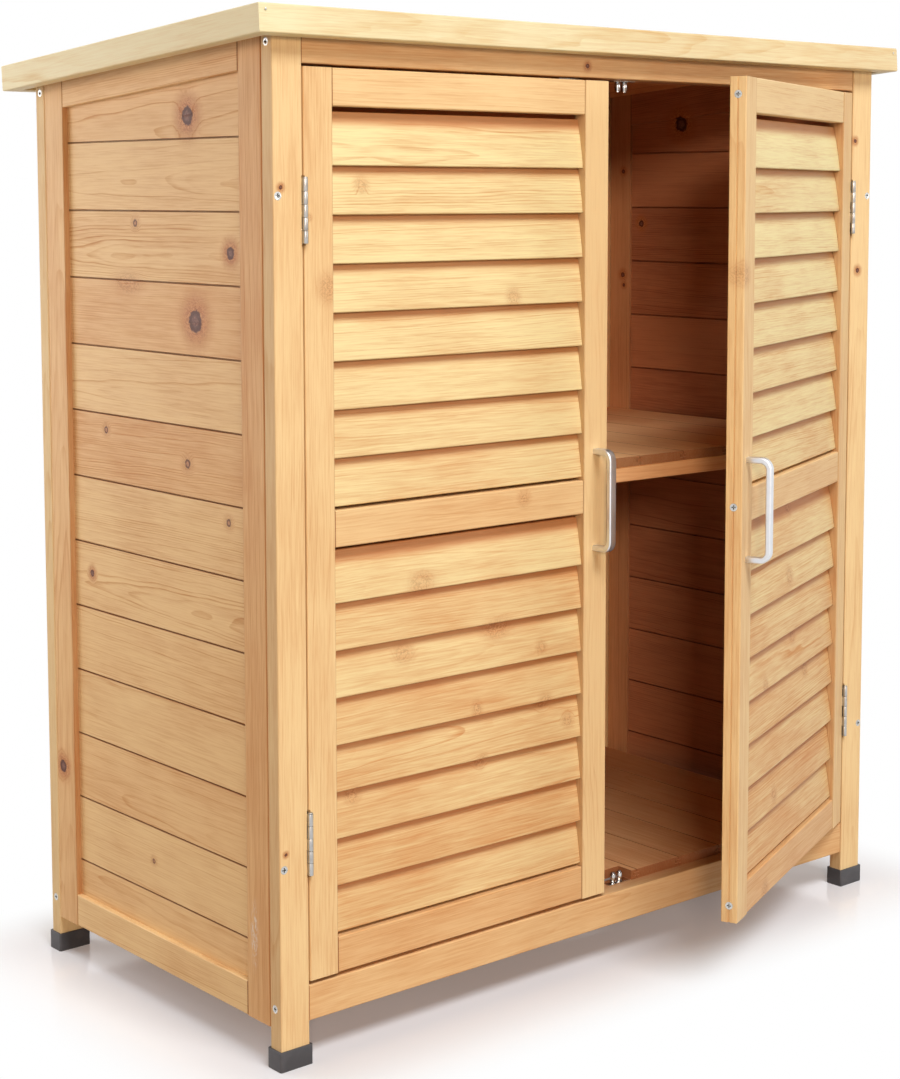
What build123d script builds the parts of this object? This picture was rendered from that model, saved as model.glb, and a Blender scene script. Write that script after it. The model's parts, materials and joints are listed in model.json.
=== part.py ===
from build123d import *
import os
from math import atan2, ceil, cos, degrees, hypot, radians, sin, tan

# A small softwood tool shed: plank walls in rebated frames, a pitched felt roof with fascias all round,
# a floor, a shelf, and two louvred doors on butt hinges, held shut by roller catches.
# Millimetres, +Z up. The front faces -Y. The origin is on the ground under the middle of the whole shed,
# with the left door shut and the right door ajar.

# Overall sizes
BODY_WIDTH = 822.0
BODY_DEPTH = 423.0
FRONT_HEIGHT = 965.0
ROOF_FALL = 33.0
SIDE_OVERHANG = 24.0
FRONT_OVERHANG = 15.0
REAR_OVERHANG = 27.0

# Posts and feet
POST_WIDTH = 32.0
POST_THICKNESS = 17.0
EDGE_ROUND = 1.3
FOOT_HEIGHT = 19.0
FOOT_WALL = 2.2
FOOT_SOLE = 2.5
FOOT_ROUND = 2.0
FOOT_ROOM = 0.1

# Front and rear rails between the posts
RAIL_SETBACK = 1.0
FRONT_RAIL_DEPTH = 34.0
BOTTOM_RAIL_RISE = 40.0
BOTTOM_RAIL_HEIGHT = 34.0
TOP_RAIL_HEIGHT = 36.0

# Side walls, each a frame of stiles and rails around planks
WALL_THICKNESS = 17.0
WALL_STILE_WIDTH = 36.0
WALL_RISE = 38.0
WALL_BOTTOM_RAIL_HEIGHT = 33.0
WALL_TOP_RAIL_HEIGHT = 38.0
WALL_SEAM = 0.8

# Wall planks, tongued and grooved, held in grooves of the frames
PLANK_PITCH = 67.6
PLANK_THICKNESS = 8.0
PLANK_SETBACK = 6.0
LOWEST_PLANK_SHOWS = 37.5
GROOVE_DEPTH = 8.0
GROOVE_ROOM = 0.2
BOARD_GAP = 0.8
BOARD_ROUND = 0.8
TONGUE_DEPTH = 4.0
TONGUE_ROOM = 0.3

# Floor and shelf boards, which run from front to back
BOARD_THICKNESS = 10.0
BOARD_COUNT = 12
BOARD_SETBACK = 1.5
FLOOR_SIDE_GAP = 12.0
REAR_GAP = 1.0
FLOOR_CLEAT_DEPTH = 22.0
FLOOR_CLEAT_HEIGHT = 20.0
CATCH_NOTCH_DEPTH = 20.0
CATCH_NOTCH_HALF = 56.0
SHELF_HEIGHT = 528.0
SHELF_SETBACK = 3.0
SHELF_SIDE_GAP = 0.6
SHELF_BATTEN_DEPTH = 30.0
SHELF_BATTEN_HEIGHT = 16.0
SHELF_BATTEN_INSET = 1.0

# Roof
FASCIA_HEIGHT = 26.0
FASCIA_THICKNESS = 15.0
FASCIA_ROUND = 1.5
FELT_THICKNESS = 2.0
ROOF_BOARD_THICKNESS = 10.0

# Doors
DOOR_THICKNESS = 17.0
DOOR_STILE_WIDTH = 32.0
DOOR_RAIL_HEIGHT = 34.0
DOOR_RAIL_RECESS = 0.6
DOOR_HINGE_GAP = 1.5
DOOR_MEETING_GAP = 3.0
DOOR_BOTTOM_GAP = 4.0
DOOR_TOP_GAP = 2.6
LEFT_DOOR_ANGLE = 0.0
RIGHT_DOOR_ANGLE = 24.0
EDGE_GROOVE_WIDTH = 1.4
EDGE_GROOVE_DEPTH = 1.2

# Louvres
LOUVRES_PER_PANEL = 8
LOUVRE_THICKNESS = 4.6
LOUVRE_SETBACK = 4.0
LOUVRE_BACK_MARGIN = 0.1
LOUVRE_OVERLAP = 4.2
LOUVRE_BOTTOM_GAP = 3.0
LOUVRE_TOP_GAP = 4.4
LOUVRE_CROWN = 0.8
LOUVRE_ROUND = 1.2
LOUVRE_HOUSING = 3.0
LOUVRE_ROOM = 0.35

# Butt hinges
HINGE_LENGTH = 58.0
HINGE_LOW_DISTANCE = 130.0
HINGE_HIGH_DISTANCE = 127.7
HINGE_AXIS_PROJECTION = 2.8
KNUCKLE_RADIUS = 2.5
KNUCKLE_COUNT = 5
KNUCKLE_ROOM = 0.4
LEAF_THICKNESS = 1.2
LEAF_DEPTH = 13.0
LEAF_ROOM = 0.1
LEAF_END_ROOM = 2.5
PIN_RADIUS = 1.2
PIN_ROOM = 0.05
PIN_HEAD_RADIUS = 2.2
PIN_HEAD_HEIGHT = 1.2

# Handles
HANDLE_LENGTH = 105.0
HANDLE_PROJECTION = 26.0
HANDLE_BAR = 6.0
HANDLE_WIDTH = 9.0
HANDLE_CORNER = 12.0
HANDLE_ROUND = 1.6
HANDLE_HEIGHT = 492.0

# Roller catches, two to a door
CATCH_OFFSET = 38.0
CATCH_DISTANCE = 7.0
CATCH_PLATE_LENGTH = 30.0
CATCH_PLATE_DEPTH = 12.0
CATCH_PLATE_THICKNESS = 1.2
ROLLER_RADIUS = 3.0
ROLLER_HEIGHT = 9.0
ROLLER_SPACING = 9.6
ROLLER_END_ROOM = 0.2
STUD_HEAD_RADIUS = 2.0
STUD_HEAD_HEIGHT = 1.0
TONGUE_PLATE_WIDTH = 9.0
TONGUE_PLATE_HEIGHT = 14.0
TONGUE_PLATE_INSET = 0.5
TONGUE_BLADE_THICKNESS = 1.5
TONGUE_BLADE_HEIGHT = 4.5
TONGUE_BLADE_LENGTH = 9.5
TONGUE_BLADE_INSET = 1.0
TONGUE_NOSE_RADIUS = 1.1

# Screws
SCREW_RADIUS = 1.75
SCREW_HEAD_RADIUS = 3.8
SCREW_HEAD_HEIGHT = 2.0
SCREW_RECESS_LENGTH = 4.4
SCREW_RECESS_WIDTH = 1.1
SCREW_RECESS_DEPTH = 1.4
SCREW_ROOM = 0.1
POST_FACE_SCREW_LENGTH = 40.0
POST_SIDE_SCREW_LENGTH = 55.0
POST_SCREW_EDGE = 5.0
POST_SCREW_LOW = 189.0
POST_SCREW_DROP = 153.0
DOOR_SCREW_LENGTH = 55.0
HANDLE_SCREW_RADIUS = 1.6
HANDLE_SCREW_HEAD_RADIUS = 3.6
HANDLE_SCREW_HEAD_HEIGHT = 2.0
HANDLE_SCREW_GRIP = 10.0
LEAF_SCREW_RADIUS = 1.3
LEAF_SCREW_HEAD_RADIUS = 2.4
LEAF_SCREW_LENGTH = 15.0
LEAF_SCREW_INSET = 8.0

# Roof line, which everything under the roof is cut to
roof_width = BODY_WIDTH + 2 * SIDE_OVERHANG
roof_depth = FRONT_OVERHANG + BODY_DEPTH + REAR_OVERHANG
slope = atan2(ROOF_FALL, roof_depth)
roof_length = hypot(roof_depth, ROOF_FALL)
deck_depth = FELT_THICKNESS + ROOF_BOARD_THICKNESS


def under_roof(y, drop=0.0):
    """Height of the roof boards' underside at depth y, less a drop measured square to the slope."""
    return FRONT_HEIGHT - (deck_depth + drop) / cos(slope) - (y + FRONT_OVERHANG) * tan(slope)


# Openings and doors
half_width = BODY_WIDTH / 2
opening_half = half_width - POST_WIDTH
opening_bottom = BOTTOM_RAIL_RISE + BOTTOM_RAIL_HEIGHT
opening_top = under_roof(0) - TOP_RAIL_HEIGHT
inner_half = half_width - WALL_THICKNESS
door_bottom = opening_bottom + DOOR_BOTTOM_GAP
door_top = opening_top - DOOR_TOP_GAP
door_width = opening_half - DOOR_HINGE_GAP - DOOR_MEETING_GAP / 2
hinge_x = opening_half - DOOR_HINGE_GAP / 2
door_near = DOOR_HINGE_GAP / 2
door_far = door_near + door_width
door_front = HINGE_AXIS_PROJECTION
door_back = door_front + DOOR_THICKNESS
panel_height = (door_top - door_bottom - 3 * DOOR_RAIL_HEIGHT) / 2

# Where the shed stands: the whole of it, with its doors as they rest, is centred over the origin
rear_reach = roof_depth - FRONT_OVERHANG


def door_reach(angle):
    """How far a door, or its handle, stands in front of the posts at an opening angle."""
    turn = radians(angle)
    handle_s = door_far - DOOR_STILE_WIDTH / 2 + HANDLE_WIDTH / 2 - HANDLE_ROUND
    handle_out = HANDLE_PROJECTION - door_front - HANDLE_ROUND
    handle = handle_s * sin(turn) + handle_out * cos(turn) + HANDLE_ROUND
    corner_s = door_far - EDGE_ROUND
    corner_in = door_front + EDGE_ROUND
    corner = corner_s * sin(turn) - corner_in * cos(turn) + EDGE_ROUND
    return HINGE_AXIS_PROJECTION + max(handle, corner)


front_reach = max(
    door_reach(LEFT_DOOR_ANGLE),
    door_reach(RIGHT_DOOR_ANGLE),
    FRONT_OVERHANG + FASCIA_HEIGHT * sin(slope),
)
front_y = (front_reach - rear_reach) / 2

# Frames of reference: the cabinet, the roof's top, and the underside of the roof boards
cabinet = Plane(origin=(0, front_y, 0))
roof = Plane(
    origin=(0, front_y - FRONT_OVERHANG, FRONT_HEIGHT),
    x_dir=(1, 0, 0),
    z_dir=(0, sin(slope), cos(slope)),
)
deck = roof.offset(-deck_depth)

SIDES = ((-1, "left"), (1, "right"))

os.makedirs("parts", exist_ok=True)


def save(piece, name):
    """Labels a finished piece and writes it."""
    piece.part.label = name
    export_step(piece.part, f"parts/{name}.step")


def block(x, y, z, mode=Mode.ADD):
    """Adds or cuts a box between the ends of three spans."""
    middle = [(low + high) / 2 for low, high in (x, y, z)]
    with Locations(tuple(middle)):
        Box(abs(x[1] - x[0]), abs(y[1] - y[0]), abs(z[1] - z[0]), mode=mode)


def screw_shape(length, radius, head_radius, head_height, room=0.0, mode=Mode.ADD):
    """A countersunk screw, or with room the hole for one, pointing down from its place."""
    top = (Align.CENTER, Align.CENTER, Align.MAX)
    Cylinder(radius + room, length + room, align=top, mode=mode)
    Cone(radius + room, head_radius + room, head_height, align=top, mode=mode)


def timber_screw(length, room=0.0, mode=Mode.ADD):
    """A screw of the size that holds the timbers together, with a cross recess in its head."""
    screw_shape(length, SCREW_RADIUS, SCREW_HEAD_RADIUS, SCREW_HEAD_HEIGHT, room, mode)
    if mode == Mode.ADD:
        top = (Align.CENTER, Align.CENTER, Align.MAX)
        Box(SCREW_RECESS_LENGTH, SCREW_RECESS_WIDTH, SCREW_RECESS_DEPTH, align=top, mode=Mode.SUBTRACT)
        Box(SCREW_RECESS_WIDTH, SCREW_RECESS_LENGTH, SCREW_RECESS_DEPTH, align=top, mode=Mode.SUBTRACT)


def leaf_screw(room=0.0, mode=Mode.ADD):
    """A screw of the size that holds a hinge leaf."""
    screw_shape(LEAF_SCREW_LENGTH, LEAF_SCREW_RADIUS, LEAF_SCREW_HEAD_RADIUS, LEAF_THICKNESS, room, mode)


def facing(x, y, z, direction):
    """A place at a point of the cabinet, with its Z axis along a direction."""
    return Plane(origin=(x, y, z), z_dir=direction).location


def boards_between(plane, seams, thickness, length):
    """A row of tongued and grooved boards: seams along the plane's x, thickness along y, length along z."""
    tongue = thickness / 3
    groove = TONGUE_DEPTH + TONGUE_ROOM
    with BuildPart() as row:
        with BuildSketch(plane):
            for low, high in zip(seams, seams[1:]):
                with Locations(((low + high) / 2, thickness / 2)):
                    RectangleRounded(high - low - BOARD_GAP, thickness, BOARD_ROUND)
                if low != seams[0]:
                    with Locations((low + BOARD_GAP / 2, thickness / 2)):
                        Rectangle(2 * groove, tongue + 2 * TONGUE_ROOM, mode=Mode.SUBTRACT)
                    with Locations((low - BOARD_GAP / 2, thickness / 2)):
                        Rectangle(2 * TONGUE_DEPTH, tongue)
        extrude(amount=length)
    return row


def even_seams(half, count):
    """Seams of boards of one width, spread over a width centred on zero."""
    return [half * (2 * index / count - 1) for index in range(count + 1)]


# Screws that hold each post: two through its face into the wall stile, two through its side into the rails
rail_screw_heights = {
    "front": (BOTTOM_RAIL_RISE + BOTTOM_RAIL_HEIGHT / 2, opening_top + TOP_RAIL_HEIGHT / 2),
    "rear": (BOTTOM_RAIL_RISE + BOTTOM_RAIL_HEIGHT / 2, under_roof(BODY_DEPTH) - TOP_RAIL_HEIGHT / 2),
}


def face_screws(side, end):
    """Places of the screws through a post's face into the wall stile behind it."""
    y, outward = (0, (0, -1, 0)) if end == "front" else (BODY_DEPTH, (0, 1, 0))
    high = under_roof(y) - POST_SCREW_DROP
    x = side * (half_width - POST_SCREW_EDGE)
    return [facing(x, y, z, outward) for z in (POST_SCREW_LOW, high)]


def side_screws(side, end):
    """Places of the screws through a post's side into the ends of the rails."""
    y = POST_THICKNESS / 2 + RAIL_SETBACK
    if end == "rear":
        y = BODY_DEPTH - POST_THICKNESS / 2
    return [facing(side * half_width, y, z, (side, 0, 0)) for z in rail_screw_heights[end]]


hinge_heights = (door_bottom + HINGE_LOW_DISTANCE, door_top - HINGE_HIGH_DISTANCE)
leaf_recess_half = HINGE_LENGTH / 2 + LEAF_END_ROOM
leaf_screw_rise = HINGE_LENGTH / 2 - LEAF_SCREW_INSET


def leaf_screws(x, face, into):
    """Places of the screws of the leaves on one hinge line, as points of a plane on the hinge axis."""
    places = []
    for middle in hinge_heights:
        for rise in (-leaf_screw_rise, leaf_screw_rise):
            places.append(facing(x, face + LEAF_DEPTH / 2, middle + rise, into))
    return places


# Posts
plank_outer = PLANK_SETBACK - GROOVE_ROOM
plank_inner = PLANK_SETBACK + PLANK_THICKNESS + GROOVE_ROOM
for side, side_name in SIDES:
    for end in ("front", "rear"):
        post_y = (0, POST_THICKNESS) if end == "front" else (BODY_DEPTH - POST_THICKNESS, BODY_DEPTH)
        inner_x = side * opening_half
        with BuildPart(cabinet) as post:
            block((side * half_width, inner_x), post_y, (FOOT_SOLE, FRONT_HEIGHT))
            fillet(post.edges().filter_by(Axis.Z), EDGE_ROUND)
            split(bisect_by=deck, keep=Keep.BOTTOM)
            with Locations(*face_screws(side, end)):
                timber_screw(POST_FACE_SCREW_LENGTH, SCREW_ROOM, Mode.SUBTRACT)
            with Locations(*side_screws(side, end)):
                timber_screw(POST_SIDE_SCREW_LENGTH, SCREW_ROOM, Mode.SUBTRACT)
            if end == "rear":
                block(
                    (inner_x, inner_x + side * GROOVE_DEPTH),
                    (BODY_DEPTH - plank_inner, BODY_DEPTH - plank_outer),
                    (FOOT_SOLE, FRONT_HEIGHT),
                    Mode.SUBTRACT,
                )
            else:
                for middle in hinge_heights:
                    block(
                        (inner_x, inner_x + side * (LEAF_THICKNESS + LEAF_ROOM)),
                        (0, LEAF_DEPTH + LEAF_ROOM),
                        (middle - leaf_recess_half, middle + leaf_recess_half),
                        Mode.SUBTRACT,
                    )
                with Locations(*leaf_screws(inner_x, 0, (-side, 0, 0))):
                    leaf_screw(SCREW_ROOM, Mode.SUBTRACT)
        save(post, f"{end}_{side_name}_post")

# Feet, which cap the posts
with BuildPart(cabinet) as feet:
    for side, side_name in SIDES:
        x = side * (half_width - POST_WIDTH / 2)
        for y in (POST_THICKNESS / 2, BODY_DEPTH - POST_THICKNESS / 2):
            with Locations((x, y, FOOT_HEIGHT / 2)):
                Box(POST_WIDTH + 2 * FOOT_WALL, POST_THICKNESS + 2 * FOOT_WALL, FOOT_HEIGHT)
    fillet(feet.edges().filter_by(Axis.Z), FOOT_ROUND)
    for side, side_name in SIDES:
        x = side * (half_width - POST_WIDTH / 2)
        for y in (POST_THICKNESS / 2, BODY_DEPTH - POST_THICKNESS / 2):
            with Locations((x, y, FOOT_SOLE + FOOT_HEIGHT / 2)):
                Box(POST_WIDTH + 2 * FOOT_ROOM, POST_THICKNESS + 2 * FOOT_ROOM, FOOT_HEIGHT, mode=Mode.SUBTRACT)
save(feet, "feet")

# Front and rear rails
for end in ("front", "rear"):
    rail_y = (RAIL_SETBACK, RAIL_SETBACK + FRONT_RAIL_DEPTH)
    top_rail_under = opening_top
    if end == "rear":
        rail_y = (BODY_DEPTH - POST_THICKNESS, BODY_DEPTH)
        top_rail_under = under_roof(BODY_DEPTH) - TOP_RAIL_HEIGHT
    rail_x = (-opening_half, opening_half)
    groove_y = (BODY_DEPTH - plank_inner, BODY_DEPTH - plank_outer)
    screws = [place for side, side_name in SIDES for place in side_screws(side, end)]

    with BuildPart(cabinet) as bottom_rail:
        block(rail_x, rail_y, (BOTTOM_RAIL_RISE, opening_bottom))
        fillet(bottom_rail.edges().filter_by(Axis.Y, reverse=True), EDGE_ROUND)
        with Locations(*screws):
            timber_screw(POST_SIDE_SCREW_LENGTH, SCREW_ROOM, Mode.SUBTRACT)
        if end == "rear":
            block(rail_x, groove_y, (opening_bottom - GROOVE_DEPTH, opening_bottom), Mode.SUBTRACT)
    save(bottom_rail, f"{end}_bottom_rail")

    with BuildPart(cabinet) as top_rail:
        block(rail_x, rail_y, (top_rail_under, FRONT_HEIGHT))
        lower_edges = top_rail.edges().filter_by(Axis.X).group_by(Axis.Z)[0]
        fillet(lower_edges + top_rail.edges().filter_by(Axis.Z), EDGE_ROUND)
        split(bisect_by=deck, keep=Keep.BOTTOM)
        with Locations(*screws):
            timber_screw(POST_SIDE_SCREW_LENGTH, SCREW_ROOM, Mode.SUBTRACT)
        if end == "rear":
            block(rail_x, groove_y, (top_rail_under, top_rail_under + GROOVE_DEPTH), Mode.SUBTRACT)
    save(top_rail, f"{end}_top_rail")

# Plank seams go round the shed at one set of heights
lowest_seam = WALL_RISE + WALL_BOTTOM_RAIL_HEIGHT + LOWEST_PLANK_SHOWS


def wall_seams(low, high):
    """Heights of the plank edges in a wall from low to high."""
    count = ceil((high - lowest_seam) / PLANK_PITCH)
    middle = [lowest_seam + PLANK_PITCH * index for index in range(count)]
    inside = [seam for seam in middle if low + 2 * TONGUE_DEPTH < seam < high - 2 * TONGUE_DEPTH]
    return [low] + inside + [high]


# Rear wall planks
rear_low = opening_bottom - GROOVE_DEPTH + GROOVE_ROOM - BOARD_GAP / 2
rear_high = under_roof(BODY_DEPTH) - TOP_RAIL_HEIGHT + GROOVE_DEPTH - GROOVE_ROOM + BOARD_GAP / 2
rear_half = opening_half + GROOVE_DEPTH - GROOVE_ROOM
rear_plane = Plane(
    origin=(-rear_half, front_y + BODY_DEPTH - PLANK_SETBACK, 0),
    x_dir=(0, 0, 1),
    z_dir=(1, 0, 0),
)
rear_planks = boards_between(rear_plane, wall_seams(rear_low, rear_high), PLANK_THICKNESS, 2 * rear_half)
save(rear_planks, "rear_wall_planks")

# Side walls
front_stile_y = (POST_THICKNESS + WALL_SEAM, POST_THICKNESS + WALL_SEAM + WALL_STILE_WIDTH)
rear_stile_y = (BODY_DEPTH - front_stile_y[0], BODY_DEPTH - front_stile_y[1])
panel_y = (front_stile_y[1], rear_stile_y[1])
wall_rail_top = WALL_RISE + WALL_BOTTOM_RAIL_HEIGHT
for side, side_name in SIDES:
    wall_x = (side * half_width, side * inner_half)
    groove_x = (side * (half_width - plank_outer), side * (half_width - plank_inner))

    with BuildPart(cabinet) as stiles:
        for stile_y in (front_stile_y, rear_stile_y):
            block(wall_x, stile_y, (WALL_RISE, FRONT_HEIGHT))
        fillet(stiles.edges().filter_by(Axis.Z), EDGE_ROUND)
        split(bisect_by=deck, keep=Keep.BOTTOM)
        groove_y = (panel_y[0] - GROOVE_DEPTH, panel_y[1] + GROOVE_DEPTH)
        block(groove_x, groove_y, (WALL_RISE, FRONT_HEIGHT), Mode.SUBTRACT)
        for end in ("front", "rear"):
            with Locations(*face_screws(side, end)):
                timber_screw(POST_FACE_SCREW_LENGTH, SCREW_ROOM, Mode.SUBTRACT)
    save(stiles, f"{side_name}_wall_stiles")

    with BuildPart(cabinet) as wall_bottom_rail:
        block(wall_x, panel_y, (WALL_RISE, wall_rail_top))
        fillet(wall_bottom_rail.edges().filter_by(Axis.X, reverse=True), EDGE_ROUND)
        block(groove_x, panel_y, (wall_rail_top - GROOVE_DEPTH, wall_rail_top), Mode.SUBTRACT)
    save(wall_bottom_rail, f"{side_name}_wall_bottom_rail")

    with BuildPart(cabinet) as wall_top_rail:
        block(wall_x, panel_y, (WALL_RISE, FRONT_HEIGHT))
        split(bisect_by=deck, keep=Keep.BOTTOM)
        split(bisect_by=deck.offset(-WALL_TOP_RAIL_HEIGHT), keep=Keep.TOP)
        lower_edges = wall_top_rail.faces().sort_by(Axis.Z)[0].edges()
        lower_edges = lower_edges.filter_by(Axis((0, 0, 0), deck.y_dir))
        fillet(lower_edges + wall_top_rail.edges().filter_by(Axis.Z), EDGE_ROUND)
        groove_plane = Plane(origin=(groove_x[0], front_y, 0), x_dir=(0, 1, 0), z_dir=(1, 0, 0))
        with BuildSketch(groove_plane):
            with BuildLine():
                Polyline(
                    (panel_y[0], under_roof(panel_y[0], WALL_TOP_RAIL_HEIGHT)),
                    (panel_y[1], under_roof(panel_y[1], WALL_TOP_RAIL_HEIGHT)),
                    (panel_y[1], under_roof(panel_y[1], WALL_TOP_RAIL_HEIGHT - GROOVE_DEPTH)),
                    (panel_y[0], under_roof(panel_y[0], WALL_TOP_RAIL_HEIGHT - GROOVE_DEPTH)),
                    close=True,
                )
            make_face()
        extrude(amount=groove_x[1] - groove_x[0], mode=Mode.SUBTRACT)
    save(wall_top_rail, f"{side_name}_wall_top_rail")

    plank_low = wall_rail_top - GROOVE_DEPTH + GROOVE_ROOM - BOARD_GAP / 2
    plank_drop = WALL_TOP_RAIL_HEIGHT - GROOVE_DEPTH + GROOVE_ROOM
    plank_y = (panel_y[0] - GROOVE_DEPTH + GROOVE_ROOM, panel_y[1] + GROOVE_DEPTH - GROOVE_ROOM)
    plank_x = half_width - PLANK_SETBACK - (PLANK_THICKNESS if side > 0 else 0)
    wall_plane = Plane(
        origin=(side * plank_x, front_y + plank_y[0], 0),
        x_dir=(0, 0, 1),
        z_dir=(0, 1, 0),
    )
    seams = wall_seams(plank_low, under_roof(plank_y[0], plank_drop))
    planks = boards_between(wall_plane, seams, PLANK_THICKNESS, plank_y[1] - plank_y[0])
    with planks:
        split(bisect_by=deck.offset(-plank_drop), keep=Keep.BOTTOM)
    save(planks, f"{side_name}_wall_planks")

# Floor
board_rear = BODY_DEPTH - POST_THICKNESS - REAR_GAP
floor_front = DOOR_THICKNESS + BOARD_SETBACK
floor_seams = even_seams(inner_half - FLOOR_SIDE_GAP, BOARD_COUNT)
floor_plane = Plane(origin=(0, front_y + floor_front, opening_bottom), x_dir=(-1, 0, 0), z_dir=(0, 1, 0))
floor = boards_between(floor_plane, floor_seams, BOARD_THICKNESS, board_rear - floor_front)
with floor:
    with Locations((0, front_y + floor_front, opening_bottom)):
        Box(2 * CATCH_NOTCH_HALF, 2 * CATCH_NOTCH_DEPTH, 3 * BOARD_THICKNESS, mode=Mode.SUBTRACT)
save(floor, "floor_boards")

with BuildPart(cabinet) as cleat:
    block(
        (-inner_half, inner_half),
        (board_rear - FLOOR_CLEAT_DEPTH, board_rear),
        (opening_bottom - FLOOR_CLEAT_HEIGHT, opening_bottom),
    )
    fillet(cleat.edges().filter_by(Axis.X), EDGE_ROUND)
save(cleat, "floor_rear_cleat")

# Shelf
shelf_front = DOOR_THICKNESS + SHELF_SETBACK
shelf_under = SHELF_HEIGHT - BOARD_THICKNESS
shelf_seams = even_seams(inner_half - SHELF_SIDE_GAP + BOARD_GAP / 2, BOARD_COUNT)
shelf_plane = Plane(origin=(0, front_y + shelf_front, shelf_under), x_dir=(-1, 0, 0), z_dir=(0, 1, 0))
shelf = boards_between(shelf_plane, shelf_seams, BOARD_THICKNESS, board_rear - shelf_front)
save(shelf, "shelf_boards")

with BuildPart(cabinet) as battens:
    for near in (shelf_front + SHELF_BATTEN_INSET, board_rear - SHELF_BATTEN_INSET - SHELF_BATTEN_DEPTH):
        block(
            (-inner_half, inner_half),
            (near, near + SHELF_BATTEN_DEPTH),
            (shelf_under - SHELF_BATTEN_HEIGHT, shelf_under),
        )
    fillet(battens.edges().filter_by(Axis.X), EDGE_ROUND)
save(battens, "shelf_battens")

# Roof boards and felt, inside the fascias
deck_half = roof_width / 2 - FASCIA_THICKNESS
deck_length = roof_length - 2 * FASCIA_THICKNESS
deck_plane = Plane(
    origin=deck.from_local_coords((0, FASCIA_THICKNESS, 0)),
    x_dir=(-1, 0, 0),
    z_dir=deck.y_dir,
)
roof_seams = even_seams(deck_half + BOARD_GAP / 2, BOARD_COUNT)
roof_boards = boards_between(deck_plane, roof_seams, ROOF_BOARD_THICKNESS, deck_length)
save(roof_boards, "roof_boards")

with BuildPart() as felt:
    with BuildSketch(roof.offset(-FELT_THICKNESS)):
        with Locations((0, roof_length / 2)):
            Rectangle(2 * deck_half, deck_length)
    extrude(amount=FELT_THICKNESS)
save(felt, "roof_felt")

# Fascias, mitred at the corners
roof_half = roof_width / 2
outer = {"left": -roof_half, "right": roof_half, "front": 0.0, "rear": roof_length}
inner = {
    "left": -deck_half,
    "right": deck_half,
    "front": FASCIA_THICKNESS,
    "rear": roof_length - FASCIA_THICKNESS,
}
corners = (("left", "front"), ("right", "front"), ("right", "rear"), ("left", "rear"))
for name, start, finish in (("front", 0, 1), ("right", 1, 2), ("rear", 2, 3), ("left", 3, 0)):
    ends = (corners[start], corners[finish])
    outline = [(outer[x], outer[y]) for x, y in ends] + [(inner[x], inner[y]) for x, y in reversed(ends)]
    with BuildPart() as fascia:
        with BuildSketch(roof):
            with BuildLine():
                Polyline(*outline, close=True)
            make_face()
        extrude(amount=-FASCIA_HEIGHT)
        run = Vector(*outline[1]) - Vector(*outline[0])
        outward = roof.x_dir * run.Y - roof.y_dir * run.X
        outer_face = fascia.faces().sort_by(Axis((0, 0, 0), outward))[-1]
        along = Axis((0, 0, 0), roof.x_dir * run.X + roof.y_dir * run.Y)
        fillet(outer_face.edges().filter_by(along), FASCIA_ROUND)
    save(fascia, f"roof_{name}_fascia")

# Hinge leaves and pins
knuckle_height = HINGE_LENGTH / KNUCKLE_COUNT


def hinge_leaves(side, first_knuckle, axis_x=0.0, axis_y=0.0):
    """The two leaves on one hinge line that lie towards a side of its axis."""
    face = axis_x + side * DOOR_HINGE_GAP / 2
    plate_x = (face, face + side * LEAF_THICKNESS)
    plate_y = axis_y + HINGE_AXIS_PROJECTION
    for middle in hinge_heights:
        low = middle - HINGE_LENGTH / 2
        block(plate_x, (plate_y, plate_y + LEAF_DEPTH), (low, low + HINGE_LENGTH))
        for index in range(first_knuckle, KNUCKLE_COUNT, 2):
            start = low + index * knuckle_height + KNUCKLE_ROOM / 2
            knuckle = (start, start + knuckle_height - KNUCKLE_ROOM)
            block(plate_x, (axis_y, plate_y), knuckle)
            with Locations((axis_x, axis_y, sum(knuckle) / 2)):
                Cylinder(KNUCKLE_RADIUS, knuckle[1] - knuckle[0])
    for middle in hinge_heights:
        with Locations((axis_x, axis_y, middle)):
            Cylinder(PIN_RADIUS + PIN_ROOM, HINGE_LENGTH, mode=Mode.SUBTRACT)
    with Locations(*leaf_screws(face, plate_y, (-side, 0, 0))):
        leaf_screw(SCREW_ROOM, Mode.SUBTRACT)


with BuildPart(cabinet) as frame_leaves:
    for side, side_name in SIDES:
        hinge_leaves(side, 0, side * hinge_x, -HINGE_AXIS_PROJECTION)
save(frame_leaves, "hinge_frame_leaves")

with BuildPart(cabinet) as pins:
    for side, side_name in SIDES:
        for middle in hinge_heights:
            with Locations((side * hinge_x, -HINGE_AXIS_PROJECTION, middle)):
                Cylinder(PIN_RADIUS, HINGE_LENGTH)
            head = middle + HINGE_LENGTH / 2 + PIN_HEAD_HEIGHT / 2
            with Locations((side * hinge_x, -HINGE_AXIS_PROJECTION, head)):
                Cylinder(PIN_HEAD_RADIUS, PIN_HEAD_HEIGHT)
save(pins, "hinge_pins")

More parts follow.
